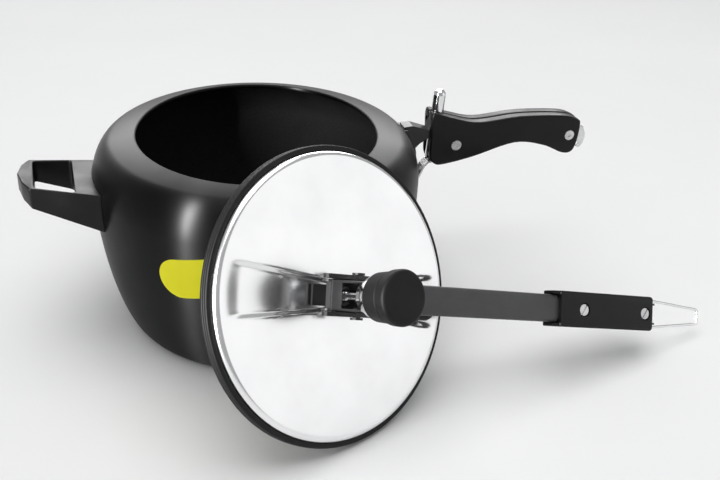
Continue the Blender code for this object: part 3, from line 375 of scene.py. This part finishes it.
def lathe(name, profile, steps=128, ring=False):
    """Turn a profile about Z into a closed mesh."""
    verts, rows = [], []
    for radius, height in profile:
        if radius < 1e-7:
            rows.append([len(verts)])
            verts.append((0, 0, height))
            continue
        rows.append(list(range(len(verts), len(verts) + steps)))
        for k in range(steps):
            angle = 2 * math.pi * k / steps
            verts.append((radius * math.cos(angle), radius * math.sin(angle), height))
    faces = []
    for upper, lower in list(zip(rows, rows[1:])) + ([(rows[-1], rows[0])] if ring else []):
        for k in range(steps):
            n = (k + 1) % steps
            if len(upper) == 1:
                faces.append((upper[0], lower[k], lower[n]))
            elif len(lower) == 1:
                faces.append((upper[k], lower[0], upper[n]))
            else:
                faces.append((upper[k], lower[k], lower[n], upper[n]))
    mesh = bpy.data.meshes.new(name)
    mesh.from_pydata(verts, [], faces)
    return mesh


def curve_points(p0, p1, p2, p3, count):
    """Points of a cubic curve, without its first point."""
    points = []
    for i in range(1, count + 1):
        t = i / count
        s = 1 - t
        points.append(tuple(s ** 3 * a + 3 * s * s * t * b + 3 * s * t * t * c + t ** 3 * d
                            for a, b, c, d in zip(p0, p1, p2, p3)))
    return points


def piece(name, mesh, made, body, replaced=(), where=None, sharp=40):
    """Put a mesh in the scene, shade it, let it ride on a body and stand for its CAD nodes.
    A mesh drawn in the frame of the lid, the bar or the loop is moved to its place in the vertices."""
    obj = bpy.data.objects.new(name, mesh)
    bpy.context.scene.collection.objects.link(obj)
    if not mesh.materials:
        mesh.materials.append(made)
    mesh.shade_smooth()
    mesh.set_sharp_from_angle(angle=math.radians(sharp))
    if where is not None:
        mesh.transform(where)
    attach(obj, body)
    if replaced:
        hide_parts(*replaced)
    print(name, "-", len(mesh.polygons), "faces")
    return obj


# %% [markdown]
# ## The pot
# The side is two cubic curves that meet at the widest line, one over the shoulder and one down to the base.
# The ring around the mouth slopes out a little, and ends in a round lip. The mouth is an oval: the turned
# mesh is stretched across the handles, fully at the lip and not at all at the ring's outer edge, so the
# outside stays round. The inside gets its own matt finish by face.

# %% Pot
POT_HEIGHT = 0.1522
BODY_RADIUS = 0.124
SHOULDER_HEIGHT = 0.118
RING_RADIUS = 0.108
RING_DROP = 0.0032
MOUTH_SHORT = 0.090
MOUTH_LONG = 0.0948
BASE_RADIUS = 0.096
WALL = 0.0032


def pot_side(offset=0.0):
    """The outer side from the ring's edge to the base, moved out by an offset."""
    ring_z = POT_HEIGHT - RING_DROP
    widest = (BODY_RADIUS, SHOULDER_HEIGHT)
    points = [(RING_RADIUS, ring_z)]
    points += curve_points(points[0], (RING_RADIUS + 0.5 * (BODY_RADIUS - RING_RADIUS), ring_z - 0.0014),
                           (BODY_RADIUS, SHOULDER_HEIGHT + 0.5 * (ring_z - SHOULDER_HEIGHT)), widest, 20)
    points += curve_points(widest, (BODY_RADIUS, 0.5 * SHOULDER_HEIGHT),
                           (BASE_RADIUS + 0.4 * (BODY_RADIUS - BASE_RADIUS), 0), (BASE_RADIUS, 0), 44)
    moved = []
    for i, (radius, height) in enumerate(points):
        behind, ahead = points[max(i - 1, 0)], points[min(i + 1, len(points) - 1)]
        along = Vector((ahead[0] - behind[0], ahead[1] - behind[1])).normalized()
        moved.append((radius - along.y * offset, height + along.x * offset))
    return moved


def pot_mesh():
    lip = WALL / 2
    inner = [p for p in reversed(pot_side(-WALL)) if p[1] > WALL and p[0] > MOUTH_SHORT + lip]
    profile = [(0, WALL), (0.03, WALL), (0.06, WALL)] + inner
    inside_rows = len(profile)
    profile += [(MOUTH_SHORT + lip + lip * math.cos(a), POT_HEIGHT - lip + lip * math.sin(a))
                for a in [math.radians(-90 - 22.5 * k) for k in range(9)]]
    profile += pot_side() + [(BASE_RADIUS - 0.004, 0), (0.05, 0), (0, 0)]
    steps = 192
    mesh = lathe("pot", profile, steps)
    for vert in mesh.vertices:
        radius = math.hypot(vert.co.x, vert.co.y)
        if radius < RING_RADIUS and vert.co.z > SHOULDER_HEIGHT:
            share = (RING_RADIUS - radius) / (RING_RADIUS - MOUTH_SHORT)
            vert.co.y *= 1 + (MOUTH_LONG / MOUTH_SHORT - 1) * share
    mesh.materials.append(POT_OUTSIDE)
    mesh.materials.append(POT_INSIDE)
    for number, face in enumerate(mesh.polygons):
        face.material_index = 1 if number < (inside_rows + 1) * steps else 0
    return mesh


piece("pot", pot_mesh(), POT_OUTSIDE, "pot", ["pot_body"], sharp=50)

# %% [markdown]
# ## The label on the pot
# A thin film lies on the pot's side. It is a pill shape, drawn flat and then wrapped: distance along the film
# becomes an angle around the pot, and height picks the radius from the pot's own profile. It stays plain.

# %% Label
LABEL_HALF = 0.036
LABEL_RADIUS = 0.0158
LABEL_ANGLE = math.radians(-118.8)
LABEL_HEIGHT = 0.0918
LABEL_TILT = math.radians(12)
FILM = 0.00015


def side_radius(height):
    """The pot's outer radius at a height."""
    side = pot_side()
    for (r0, z0), (r1, z1) in zip(side, side[1:]):
        if z1 <= height <= z0:
            return r0 + (r1 - r0) * (z0 - height) / (z0 - z1)
    return BODY_RADIUS


def label_mesh():
    bm = bmesh.new()
    columns, rows = 48, 10
    grid = []
    for i in range(columns + 1):
        along = -LABEL_HALF * math.cos(math.pi * i / columns)
        end = max(0.0, abs(along) - (LABEL_HALF - LABEL_RADIUS))
        half = math.sqrt(max(LABEL_RADIUS ** 2 - end ** 2, 1e-9))
        column = []
        for j in range(rows + 1):
            across = half * (2 * j / rows - 1)
            s = along * math.cos(LABEL_TILT) - across * math.sin(LABEL_TILT)
            z = LABEL_HEIGHT + along * math.sin(LABEL_TILT) + across * math.cos(LABEL_TILT)
            angle = LABEL_ANGLE + s / BODY_RADIUS
            radius = side_radius(z) + FILM
            column.append(bm.verts.new((radius * math.cos(angle), radius * math.sin(angle), z)))
        grid.append(column)
    for left, right in zip(grid, grid[1:]):
        for j in range(rows):
            bm.faces.new((left[j], right[j], right[j + 1], left[j + 1]))
    mesh = bpy.data.meshes.new("pot_label")
    bmesh.ops.remove_doubles(bm, verts=bm.verts, dist=0.00002)
    bm.to_mesh(mesh)
    bm.free()
    return mesh


piece("pot_label", label_mesh(), LABEL, "pot")

# %% [markdown]
# ## Helpers for solid pieces
# Handles, grip and bar are blocks and bent sheet with holes. They are made as plain solids that Boolean
# modifiers join and cut; a Bevel modifier then rounds the edges. The modifiers are applied at once, so what
# is left is a finished mesh and the cutters can go.

# %% Solid kit
def loose(name, bm):
    """Turn a bmesh into a free object."""
    mesh = bpy.data.meshes.new(name)
    bmesh.ops.recalc_face_normals(bm, faces=bm.faces)
    bm.to_mesh(mesh)
    bm.free()
    obj = bpy.data.objects.new(name, mesh)
    bpy.context.scene.collection.objects.link(obj)
    return obj


def slab(low, high):
    """A box between two corners."""
    bm = bmesh.new()
    bmesh.ops.create_cube(bm, size=1)
    low, high = Vector(low), Vector(high)
    for vert in bm.verts:
        vert.co = Vector(((vert.co.x + 0.5) * (high.x - low.x), (vert.co.y + 0.5) * (high.y - low.y),
                          (vert.co.z + 0.5) * (high.z - low.z))) + low
    return loose("slab", bm)


def peg(radius, start, end, sides=48):
    """A round bar from one point to another."""
    start, end = Vector(start), Vector(end)
    bm = bmesh.new()
    bmesh.ops.create_cone(bm, cap_ends=True, segments=sides, radius1=radius, radius2=radius,
                          depth=(end - start).length)
    turn = (end - start).to_track_quat("Z", "Y").to_matrix().to_4x4()
    bmesh.ops.transform(bm, matrix=Matrix.Translation((start + end) / 2) @ turn, verts=bm.verts)
    return loose("peg", bm)


def prism(outline, low, high, axis="Y"):
    """Extrude a flat outline: (x, z) along Y, or (y, z) along X."""
    bm = bmesh.new()
    rings = []
    for level in (low, high):
        rings.append([bm.verts.new((a, level, b) if axis == "Y" else (level, a, b)) for a, b in outline])
    bm.faces.new(rings[0])
    bm.faces.new(rings[1])
    for i in range(len(outline)):
        j = (i + 1) % len(outline)
        bm.faces.new((rings[0][i], rings[0][j], rings[1][j], rings[1][i]))
    return loose("prism", bm)


def settle(obj):
    """Apply the modifiers of an object."""
    bpy.context.view_layer.update()
    graph = bpy.context.evaluated_depsgraph_get()
    obj.data = bpy.data.meshes.new_from_object(obj.evaluated_get(graph))
    obj.modifiers.clear()
    return obj


def combine(obj, others, operation):
    """Join other solids to an object, or cut them from it, and remove them."""
    for other in others:
        mod = obj.modifiers.new("combine", "BOOLEAN")
        mod.operation = operation
        mod.object = other
        mod.solver = "EXACT"
    settle(obj)
    for other in others:
        bpy.data.objects.remove(other, do_unlink=True)
    return obj


def soften(obj, width, segments=3, angle=32):
    """Round the sharp edges of a solid."""
    mod = obj.modifiers.new("soften", "BEVEL")
    mod.width = width
    mod.segments = segments
    mod.limit_method = "ANGLE"
    mod.angle_limit = math.radians(angle)
    mod.use_clamp_overlap = True
    return settle(obj)


def take(obj, name):
    """Keep a solid's mesh and drop its object."""
    mesh = obj.data
    mesh.name = name
    bpy.data.objects.remove(obj, do_unlink=True)
    mesh.materials.clear()
    return mesh


def flowing(points, per_span):
    """A closed smooth line through a few points."""
    count = len(points)
    result = []
    for i in range(count):
        p, q, r, s = (Vector(points[(i + k) % count]) for k in (-1, 0, 1, 2))
        for step in range(per_span):
            t = step / per_span
            result.append(tuple((p * (-t + 2 * t * t - t ** 3) + q * (2 - 5 * t * t + 3 * t ** 3)
                                 + r * (t + 4 * t * t - 3 * t ** 3) + s * (t ** 3 - t * t)) / 2))
    return result


# %% [markdown]
# ## The helper handle
# It is one moulding: a slab that narrows away from the pot and slopes down outwards, with a finger opening
# right through it and a bulging outer end. The opening is cut first and every edge is then rounded
# generously, as a mould would have it. Last, the root is cut to fit the round pot.

# %% Helper handle
GAP = 0.0003
HELPER_REACH = 0.1755
HELPER_ROOT_HALF = 0.032
HELPER_END_HALF = 0.025
OPENING_NEAR = 0.137
OPENING_FAR = 0.1645
OPENING_HALF_NEAR = 0.0275
OPENING_HALF_FAR = 0.0225
STUD_HEIGHT = 0.112


def loft_plan(plan, bottom, top):
    """A solid over a plan outline between two sloping faces."""
    bm = bmesh.new()
    low = [bm.verts.new((x, y, bottom(x))) for x, y in plan]
    high = [bm.verts.new((x, y, top(x))) for x, y in plan]
    bm.faces.new(low)
    bm.faces.new(high)
    for i in range(len(plan)):
        j = (i + 1) % len(plan)
        bm.faces.new((low[i], low[j], high[j], high[i]))
    return loose("loft", bm)


def pot_cutter():
    """A solid slightly larger than the pot."""
    side = [p for p in pot_side(GAP) if p[1] > 0]
    profile = [(0, side[0][1])] + side + [(side[-1][0], -0.01), (0, -0.01)]
    mesh = lathe("pot_cutter", profile, 192)
    obj = bpy.data.objects.new("pot_cutter", mesh)
    bpy.context.scene.collection.objects.link(obj)
    return obj


def helper_mesh():
    root = BODY_RADIUS - 0.016
    bulge = HELPER_REACH - 0.008
    half_plan = [(-root, -HELPER_ROOT_HALF - 0.002), (-root - 0.010, -HELPER_ROOT_HALF),
                 (-bulge, -HELPER_END_HALF), (-bulge - 0.005, -0.6 * HELPER_END_HALF), (-HELPER_REACH, 0)]
    plan = half_plan + [(x, -y) for x, y in reversed(half_plan[:-1])]
    solid = loft_plan(plan, lambda x: 0.094 + 0.450 * (-0.118 - x), lambda x: 0.1247 + 0.160 * (-0.121 - x))
    window = [(-OPENING_FAR, -OPENING_HALF_FAR), (-OPENING_NEAR, -OPENING_HALF_NEAR),
              (-OPENING_NEAR, OPENING_HALF_NEAR), (-OPENING_FAR, OPENING_HALF_FAR)]
    cutter = loft_plan(rounded(window, 0.003, closed=True), lambda x: 0.05, lambda x: 0.17)
    combine(solid, [cutter], "DIFFERENCE")
    soften(solid, 0.0021, 4, 30)
    seat = peg(0.0045, (-OPENING_NEAR + 0.003, 0, STUD_HEIGHT), (-OPENING_NEAR - 0.004, 0, STUD_HEIGHT))
    combine(solid, [pot_cutter(), seat], "DIFFERENCE")
    return take(solid, "helper_handle")


piece("helper_handle_moulding", helper_mesh(), PHENOLIC, "pot", ["helper_handle"], sharp=30)

# %% [markdown]
# ## The long handle
# Two moulded cheeks are screwed together over a steel tang. Seen from the side the handle has a tall inner
# end, a waist under the thumb and a drooping nose, all in one flowing line. Each cheek is that outline
# extruded and heavily rounded, with round recesses for the screw heads and a bore for the post.

# %% Long handle cheeks
HANDLE_START = 0.138
HANDLE_LENGTH = 0.131
HANDLE_THICK = 0.018
HANDLE_MID = 0.128
SCREW_SEAT = 0.0047
POST_RADIUS = 0.005
POST_LENGTH = 0.058
POST_LEAN = math.radians(4)
POST_FOOT = Vector((0.142, 0, 0.116))


def handle_outline(per_span):
    start, end, mid = HANDLE_START, HANDLE_START + HANDLE_LENGTH, HANDLE_MID
    waist, arch = start + 0.31 * HANDLE_LENGTH, start + 0.58 * HANDLE_LENGTH
    return flowing([
        (start, mid + 0.027), (start + 0.006, mid + 0.0275), (start + 0.018, mid + 0.0235),
        (waist, mid + 0.0182), (arch, mid + 0.0203), (end - 0.018, mid + 0.0180),
        (end - 0.003, mid + 0.0135), (end, mid + 0.009), (end - 0.001, mid - 0.006),
        (end - 0.005, mid - 0.0150), (end - 0.014, mid - 0.0153), (end - 0.032, mid - 0.0070),
        (arch - 0.003, mid - 0.0025), (waist - 0.003, mid - 0.0115), (start + 0.012, mid - 0.0160),
        (start + 0.004, mid - 0.0145), (start, mid - 0.0080), (start, mid + 0.010)], per_span)


def on_post(along):
    """A point on the post's axis."""
    return POST_FOOT + Vector((math.sin(POST_LEAN), 0, math.cos(POST_LEAN))) * along


def cheek_mesh(name, sign):
    half = HANDLE_THICK / 2
    low, high = sorted((sign * GAP / 2, sign * half))
    cheek = soften(prism(handle_outline(6), low, high), 0.0032, 5, 40)
    start, mid = HANDLE_START, HANDLE_MID
    cuts = [slab((start - 0.01, -0.0062, mid - 0.03), (start + 0.0155, 0.0062, mid + 0.0225)),
            peg(POST_RADIUS + GAP, on_post(0), on_post(POST_LENGTH))]
    depth = 0.0029 if sign < 0 else 0.0037
    for x in (start + 0.022, start + HANDLE_LENGTH - 0.009):
        cuts.append(peg(SCREW_SEAT, (x, sign * (half - depth), mid), (x, sign * 0.02, mid)))
        cuts.append(peg(0.0024, (x, 0, mid), (x, sign * 0.02, mid), 24))
    return take(combine(cheek, cuts, "DIFFERENCE"), name)


for side, sign in (("front", -1), ("rear", 1)):
    piece(f"handle_cheek_{side}", cheek_mesh(f"cheek_{side}", sign), PHENOLIC, "pot",
          [f"long_handle_{side}"], sharp=30)

# %% [markdown]
# ## The fulcrum post
# A plain chromed pin with a domed top. It mirrors everything around it, so it is turned with many steps.

# %% Post
dome = [(POST_RADIUS * math.sin(a), POST_LENGTH - POST_RADIUS * (1 - math.cos(a)))
        for a in [math.radians(7.5 * k) for k in range(13)]]
PIN_RADIUS = 0.0025
PIN_LENGTH = 0.0035
post_profile = dome + [(POST_RADIUS, 0.0006), (POST_RADIUS - 0.0005, 0), (PIN_RADIUS, 0),
                       (PIN_RADIUS, -PIN_LENGTH), (0, -PIN_LENGTH)]
post_place = Matrix.Translation(POST_FOOT) @ Matrix.Rotation(POST_LEAN, 4, "Y")
piece("post_pin", lathe("post_pin", post_profile, 96), CHROME, "pot", ["fulcrum_post"],
      post_place, 50)

# %% [markdown]
# ## The lid
# The lid is stamped from thin sheet and polished: a flat face, a rolled corner and a short rim. A shallow
# trough like a bow tie is pressed across it under the bar, to stiffen it. The face is turned with many
# rings, and each vertex is then pressed down by the trough's depth at its place.

# %% Lid plate
LID_RADIUS = 0.0955
LID_OVAL = 0.0125
LID_SHEET = 0.0012
LID_CORNER = 0.004
RIM_DEPTH = 0.009
TROUGH_DEPTH = 0.0015
TROUGH_HALF_INNER = 0.010
TROUGH_HALF_OUTER = 0.020
OVAL = Matrix.Diagonal((1 - LID_OVAL, 1 + LID_OVAL, 1, 1))


def ease(value):
    """A smooth step from 0 to 1."""
    value = min(1.0, max(0.0, value))
    return value * value * (3 - 2 * value)


def trough(x, y):
    """How deep the bow-tie trough is at a place on the lid."""
    radius = math.hypot(x, y)
    half = TROUGH_HALF_INNER + (TROUGH_HALF_OUTER - TROUGH_HALF_INNER) * abs(x) / LID_RADIUS
    across = ease((half - abs(y)) / 0.0032)
    along = ease((LID_RADIUS - LID_CORNER - radius) / 0.016)
    return TROUGH_DEPTH * across * along


def lid_mesh():
    flat = LID_RADIUS - LID_CORNER
    radii = [flat * k / 64 for k in range(1, 65)]

    def corner(radius, start, end):
        angles = [math.radians(start + (end - start) * k / 10) for k in range(11)]
        return [(flat + radius * math.cos(a), -LID_CORNER + radius * math.sin(a)) for a in angles]

    profile = [(0, 0)] + [(r, 0) for r in radii] + corner(LID_CORNER, 90, 0)[1:]
    profile += [(LID_RADIUS, -RIM_DEPTH), (LID_RADIUS - LID_SHEET, -RIM_DEPTH)]
    profile += corner(LID_CORNER - LID_SHEET, 0, 90) + [(r, -LID_SHEET) for r in reversed(radii[:-1])]
    profile += [(0, -LID_SHEET)]
    mesh = lathe("lid", profile, 288)
    for vert in mesh.vertices:
        if vert.co.z > -LID_SHEET * 1.5:
            vert.co.z -= trough(vert.co.x, vert.co.y)
    mesh.transform(OVAL)
    return mesh


piece("lid_steel", lid_mesh(), STEEL, "lid", ["lid_plate"], LID, 60)

# %% [markdown]
# ## The sealing ring
# A black rubber ring grips the lid's rim. Its outer side is nearly flat with a soft edge at the top, where it
# meets the underside of the pot's ring, and two fine grooves run around it.

# %% Gasket
GASKET_WIDTH = 0.0040
GASKET_FOOT = 0.0023
inner_side, outer_side = LID_RADIUS + GAP, LID_RADIUS + GASKET_WIDTH
ring_top, ring_foot = -LID_CORNER + 0.0003, -RIM_DEPTH - GASKET_FOOT
groove = 0.00035
ring_line = [(inner_side, ring_top, 0.0004), (outer_side - 0.0003, ring_top, 0.0011)]
for depth in (0.0026, 0.0050):
    level = ring_top - depth
    ring_line += [(outer_side, level + 0.0004, 0.0002), (outer_side - groove, level, 0.0002),
                  (outer_side, level - 0.0004, 0.0002)]
ring_line += [(outer_side, ring_foot, 0.0010), (LID_RADIUS - 0.0045, ring_foot, 0.0006),
              (LID_RADIUS - 0.0045, -RIM_DEPTH - GAP, 0.0004), (inner_side, -RIM_DEPTH - GAP, 0.0002)]
gasket_mesh = lathe("gasket", rounded(ring_line, 0.0004, closed=True, steps=3), 288, ring=True)
gasket_mesh.transform(OVAL)
piece("gasket_ring", gasket_mesh, RUBBER, "lid", ["lid_gasket"], LID, 60)

# %% [markdown]
# ## The pressure weight
# A chromed core with a stepped foot sits on the vent nozzle, under a moulded cover. The cover has a plain
# skirt, a narrow groove, and a wider cap with a soft rim for the fingers. Both are turned from rounded
# profiles.

# %% Weight
TUBE_SHOULDER = 0.0322
NOZZLE_RADIUS = 0.003
NOZZLE_TOP = 0.0375
RUNNING = 0.0004
WEIGHT_FOOT = 0.0115
WEIGHT_CORE = 0.0125
WEIGHT_SKIRT = 0.0158
WEIGHT_CAP = 0.0179
WEIGHT_TOP = 0.0675
foot = TUBE_SHOULDER + GAP
step, skirt = foot + 0.0055, foot + 0.0115
core_line = [
    (0, WEIGHT_TOP - 0.0075), (WEIGHT_CORE, WEIGHT_TOP - 0.0075), (WEIGHT_CORE, skirt - GAP),
    (WEIGHT_FOOT + 0.0022, skirt - GAP), (WEIGHT_FOOT + 0.0022, step + 0.0006), (WEIGHT_FOOT, step),
    (WEIGHT_FOOT, foot + 0.0004), (WEIGHT_FOOT - 0.0006, foot), (NOZZLE_RADIUS + RUNNING, foot),
    (NOZZLE_RADIUS + RUNNING, NOZZLE_TOP + 0.002), (0, NOZZLE_TOP + 0.003)]
piece("weight_core_turned", lathe("weight_core", rounded(core_line, 0.0004, steps=3), 128), CHROME, "weight",
      ["weight_core"], LID, 50)
groove_z = skirt + 0.0135
cap_line = [
    (0, WEIGHT_TOP), (WEIGHT_CAP - 0.0020, WEIGHT_TOP, 0.003), (WEIGHT_CAP, WEIGHT_TOP - 0.0016, 0.0016),
    (WEIGHT_CAP - 0.0003, groove_z + 0.0016, 0.0008), (WEIGHT_SKIRT, groove_z + 0.0012, 0.0004),
    (WEIGHT_SKIRT, groove_z, 0.0003), (WEIGHT_SKIRT + 0.0008, groove_z - 0.0006, 0.0006),
    (WEIGHT_SKIRT, skirt + 0.0006, 0.0006), (WEIGHT_SKIRT - 0.0006, skirt, 0.0003),
    (WEIGHT_CORE + GAP, skirt),
    (WEIGHT_CORE + GAP, WEIGHT_TOP - 0.0075 + GAP), (0, WEIGHT_TOP - 0.0075 + GAP)]
piece("weight_cover", lathe("weight_cover", rounded(cap_line, 0.0003, steps=5), 160), PHENOLIC_MATT, "weight",
      ["weight_cap"], LID, 50)

# %% [markdown]
# ## The bar
# The bar is a pressed channel of painted steel. It is drawn as its cross-section, an upside-down U with round
# shoulders, and extruded along its length. A window lets the vent tube through, the inner end has two round
# lugs, and the outer end narrows to a tang with two ears that carry the loop.

# %% Bar
BAR_HALF = 0.010
BAR_TOP = 0.009
BAR_SHEET = 0.0016
BAR_INNER_END = -0.024
RIVET_RADIUS = 0.0026
GRIP_START = 0.164
GRIP_LENGTH = 0.094
TANG_HALF = 0.0082
LOOP_PIVOT = 0.2625
LOOP_PIVOT_HEIGHT = 0.0045
EAR_RADIUS = 0.0035
LOOP_WIRE = 0.0011
BAR_DEEP = 0.005


def channel(half, bottom, start, end):
    """A length of channel with rounded shoulders, open below."""
    inside, under = half - BAR_SHEET, BAR_TOP - BAR_SHEET
    outline = rounded([(-half, bottom, 0), (-half, BAR_TOP, 0.0022),
                       (half, BAR_TOP, 0.0022), (half, bottom, 0),
                       (inside, bottom, 0), (inside, under, 0.0008),
                       (-inside, under, 0.0008), (-inside, bottom, 0)],
                      0.001, closed=True, steps=5)
    return prism(outline, start, end, axis="X")


def bar_mesh():
    full, end = GRIP_START - 0.0005, GRIP_START + GRIP_LENGTH
    inside, narrow = BAR_HALF - BAR_SHEET, TANG_HALF - BAR_SHEET
    bar = channel(BAR_HALF, -BAR_DEEP, BAR_INNER_END, full)
    shoulder = slab((full - 0.002, -BAR_HALF + 0.0006, 0), (full, BAR_HALF - 0.0006, 0.0076))
    lugs = peg(0.003, (BAR_INNER_END, -BAR_HALF, 0.004), (BAR_INNER_END, BAR_HALF, 0.004))
    tang = channel(TANG_HALF, 0, full - 0.001, end + 0.0005)
    stop = slab((end - 0.002, -TANG_HALF + 0.0005, 0), (end + 0.0005, TANG_HALF - 0.0005, 0.0076))
    ears = peg(EAR_RADIUS, (LOOP_PIVOT, -TANG_HALF, LOOP_PIVOT_HEIGHT),
               (LOOP_PIVOT, TANG_HALF, LOOP_PIVOT_HEIGHT))
    roots = slab((end - 0.001, -TANG_HALF, LOOP_PIVOT_HEIGHT - 0.0035),
                 (LOOP_PIVOT, TANG_HALF, LOOP_PIVOT_HEIGHT + 0.0035))
    combine(bar, [shoulder, lugs, tang, stop, ears, roots], "UNION")
    cuts = [slab((0.026, -0.02, -0.02), (0.3, 0.02, 0)),
            slab((-0.06, -inside, -0.02), (BAR_INNER_END - 0.0001, inside, 0.02)),
            slab((end + 0.0004, -narrow, -0.02), (0.3, narrow, 0.02)),
            slab((-0.017, -inside + 0.0001, 0), (0.017, inside - 0.0001, 0.03)),
            peg(RIVET_RADIUS + RUNNING, (0, -0.02, 0), (0, 0.02, 0)),
            peg(LOOP_WIRE + RUNNING, (LOOP_PIVOT, -0.02, LOOP_PIVOT_HEIGHT),
                (LOOP_PIVOT, 0.02, LOOP_PIVOT_HEIGHT), 24)]
    combine(bar, cuts, "DIFFERENCE")
    soften(bar, 0.00035, 2, 40)
    return take(bar, "bar")


piece("bar_channel", bar_mesh(), GREY_PAINT, "bar", ["lid_bar"], BAR, 30)

# %% [markdown]
# ## The grip
# The grip is a moulded sleeve over the tang with well-rounded corners. Its inner end is forked, with two
# prongs that lap the bar's sides, and two recesses on top hold the slotted screws.

# %% Grip
GRIP_HALF = 0.013
GRIP_LOW = -0.007
GRIP_HIGH = BAR_TOP + 0.003
SCREW_PLACES = (GRIP_START + 0.0235, GRIP_START + GRIP_LENGTH - 0.008)


def grip_mesh():
    start, end = GRIP_START, GRIP_START + GRIP_LENGTH
    plan = rounded([(start, -GRIP_HALF, 0.0010), (end, -GRIP_HALF, 0.0034), (end, GRIP_HALF, 0.0034),
                    (start, GRIP_HALF, 0.0010)], 0.001, closed=True, steps=6)
    grip = loft_plan(plan, lambda x: GRIP_LOW, lambda x: GRIP_HIGH)
    soften(grip, 0.0013, 4, 40)
    prongs = []
    for sign in (1, -1):
        a, b = sorted((sign * (BAR_HALF + 0.0005), sign * (GRIP_HALF - 0.0002)))
        prong = slab((start - 0.006, a, 0.002), (start + 0.003, b, GRIP_HIGH - 0.001))
        prongs.append(soften(prong, 0.0005, 2))
    combine(grip, prongs, "UNION")
    cuts = [slab((start - 0.01, -TANG_HALF - GAP, -GAP), (end + 0.01, TANG_HALF + GAP, BAR_TOP + GAP)),
            slab((start - 0.01, -BAR_HALF - GAP, -0.0055), (start + GAP, BAR_HALF + GAP, 0.02))]
    cuts += [peg(0.0051, (x, 0, BAR_TOP), (x, 0, 0.03)) for x in SCREW_PLACES]
    return take(combine(grip, cuts, "DIFFERENCE"), "grip")


piece("grip_moulding", grip_mesh(), PHENOLIC, "bar", ["bar_grip"], BAR, 30)

# %% [markdown]
# ## The wire loop
# A closed loop of bright wire swings in the bar's ears: wide at the ears, narrow and rounded at the far
# end. A bevelled curve makes wire of an even thickness around any route, and is then turned into mesh.

# %% Loop
LOOP_LENGTH = 0.0535
half_route = rounded([(0, 0, 0), (0, 0.0103, 0.0012), (LOOP_LENGTH, 0.0056, 0.0026), (LOOP_LENGTH, 0, 0)],
                     0.001, steps=6)[1:-1]
route = half_route + [(x, -y) for x, y in reversed(half_route)]
wire = bpy.data.curves.new("loop_wire", "CURVE")
wire.dimensions = "3D"
wire.bevel_depth = LOOP_WIRE
wire.bevel_resolution = 5
spline = wire.splines.new("POLY")
spline.points.add(len(route) - 1)
spline.use_cyclic_u = True
for point, (x, y) in zip(spline.points, route):
    point.co = (x, y, 0, 1)
wire_source = bpy.data.objects.new("loop_wire", wire)
bpy.context.scene.collection.objects.link(wire_source)
bpy.context.view_layer.update()
loop_mesh = bpy.data.meshes.new_from_object(wire_source.evaluated_get(bpy.context.evaluated_depsgraph_get()))
bpy.data.objects.remove(wire_source, do_unlink=True)
piece("loop_wire", loop_mesh, CHROME, "loop", ["hook_loop"], LOOP, 60)

# %% [markdown]
# ## The floor
# A pale sheet of matt paper runs under the cooker, far past the view. It has a very soft mottle, so that it
# reads as a surface and not as a blank.

# %% Floor
def paper():
    made, tree, shader = finish("pale_paper", specular=0.1)
    mottle = noise(tree, 3, 3)
    rough = between(tree, mottle, 0.85, 0.95)
    dress(tree, shader, tint(tree, mottle, (0.90, 0.90, 0.90), (0.93, 0.93, 0.93)), rough)
    return made


FLOOR_HALF = 6.0
bm = bmesh.new()
corners = [(-FLOOR_HALF, -FLOOR_HALF), (FLOOR_HALF, -FLOOR_HALF),
           (FLOOR_HALF, FLOOR_HALF), (-FLOOR_HALF, FLOOR_HALF)]
bm.faces.new([bm.verts.new((x, y, -0.0002)) for x, y in corners])
floor_mesh = bpy.data.meshes.new("floor")
bm.to_mesh(floor_mesh)
bm.free()
floor_mesh.materials.append(paper())
floor = bpy.data.objects.new("floor", floor_mesh)
bpy.context.scene.collection.objects.link(floor)

# %% [markdown]
# ## The light
# Polished steel shows what stands around it, so the light is a few large soft boxes. One behind and above
# gives the bright ring and shoulders, one to the right fills the lid with white, one overhead lights the
# floor, and a tall narrow one at the left draws the streak down the pot's side. The world behind them is a
# dim even grey.

# %% Lights
def softbox(name, place, aim, size, radiance, floor_too=True):
    """An area light of a given size and brightness that faces a point. One that is there for the shine alone
    leaves the matt floor as it is."""
    data = bpy.data.lights.new(name, "AREA")
    data.shape = "RECTANGLE"
    data.size, data.size_y = size
    data.energy = radiance * math.pi * size[0] * size[1]
    obj = bpy.data.objects.new(name, data)
    bpy.context.scene.collection.objects.link(obj)
    obj.location = place
    obj.rotation_euler = (Vector(aim) - Vector(place)).to_track_quat("-Z", "Y").to_euler()
    obj.visible_diffuse = floor_too
    return obj


softbox("box_back", (0.5, 2.0, 1.35), (0, 0, 0.15), (2.6, 1.2), 6.5, floor_too=False)
softbox("box_right", (2.2, -1.2, 0.75), (0.02, -0.15, 0.1), (2.0, 1.5), 0.70, floor_too=False)
softbox("box_top", (0.0, -0.1, 2.4), (0, 0, 0), (2.4, 2.4), 2.3)
softbox("strip_left", (-1.44, -0.92, 0.55), (-0.06, -0.1, 0.1), (0.04, 1.5), 750.0, floor_too=False)
world = bpy.data.worlds.new("studio")
world.use_nodes = True
world.node_tree.nodes["Background"].inputs["Color"].default_value = (0.98, 0.99, 1.0, 1)
world.node_tree.nodes["Background"].inputs["Strength"].default_value = 0.42
bpy.context.scene.world = world
bpy.context.scene.view_settings.view_transform = "Standard"
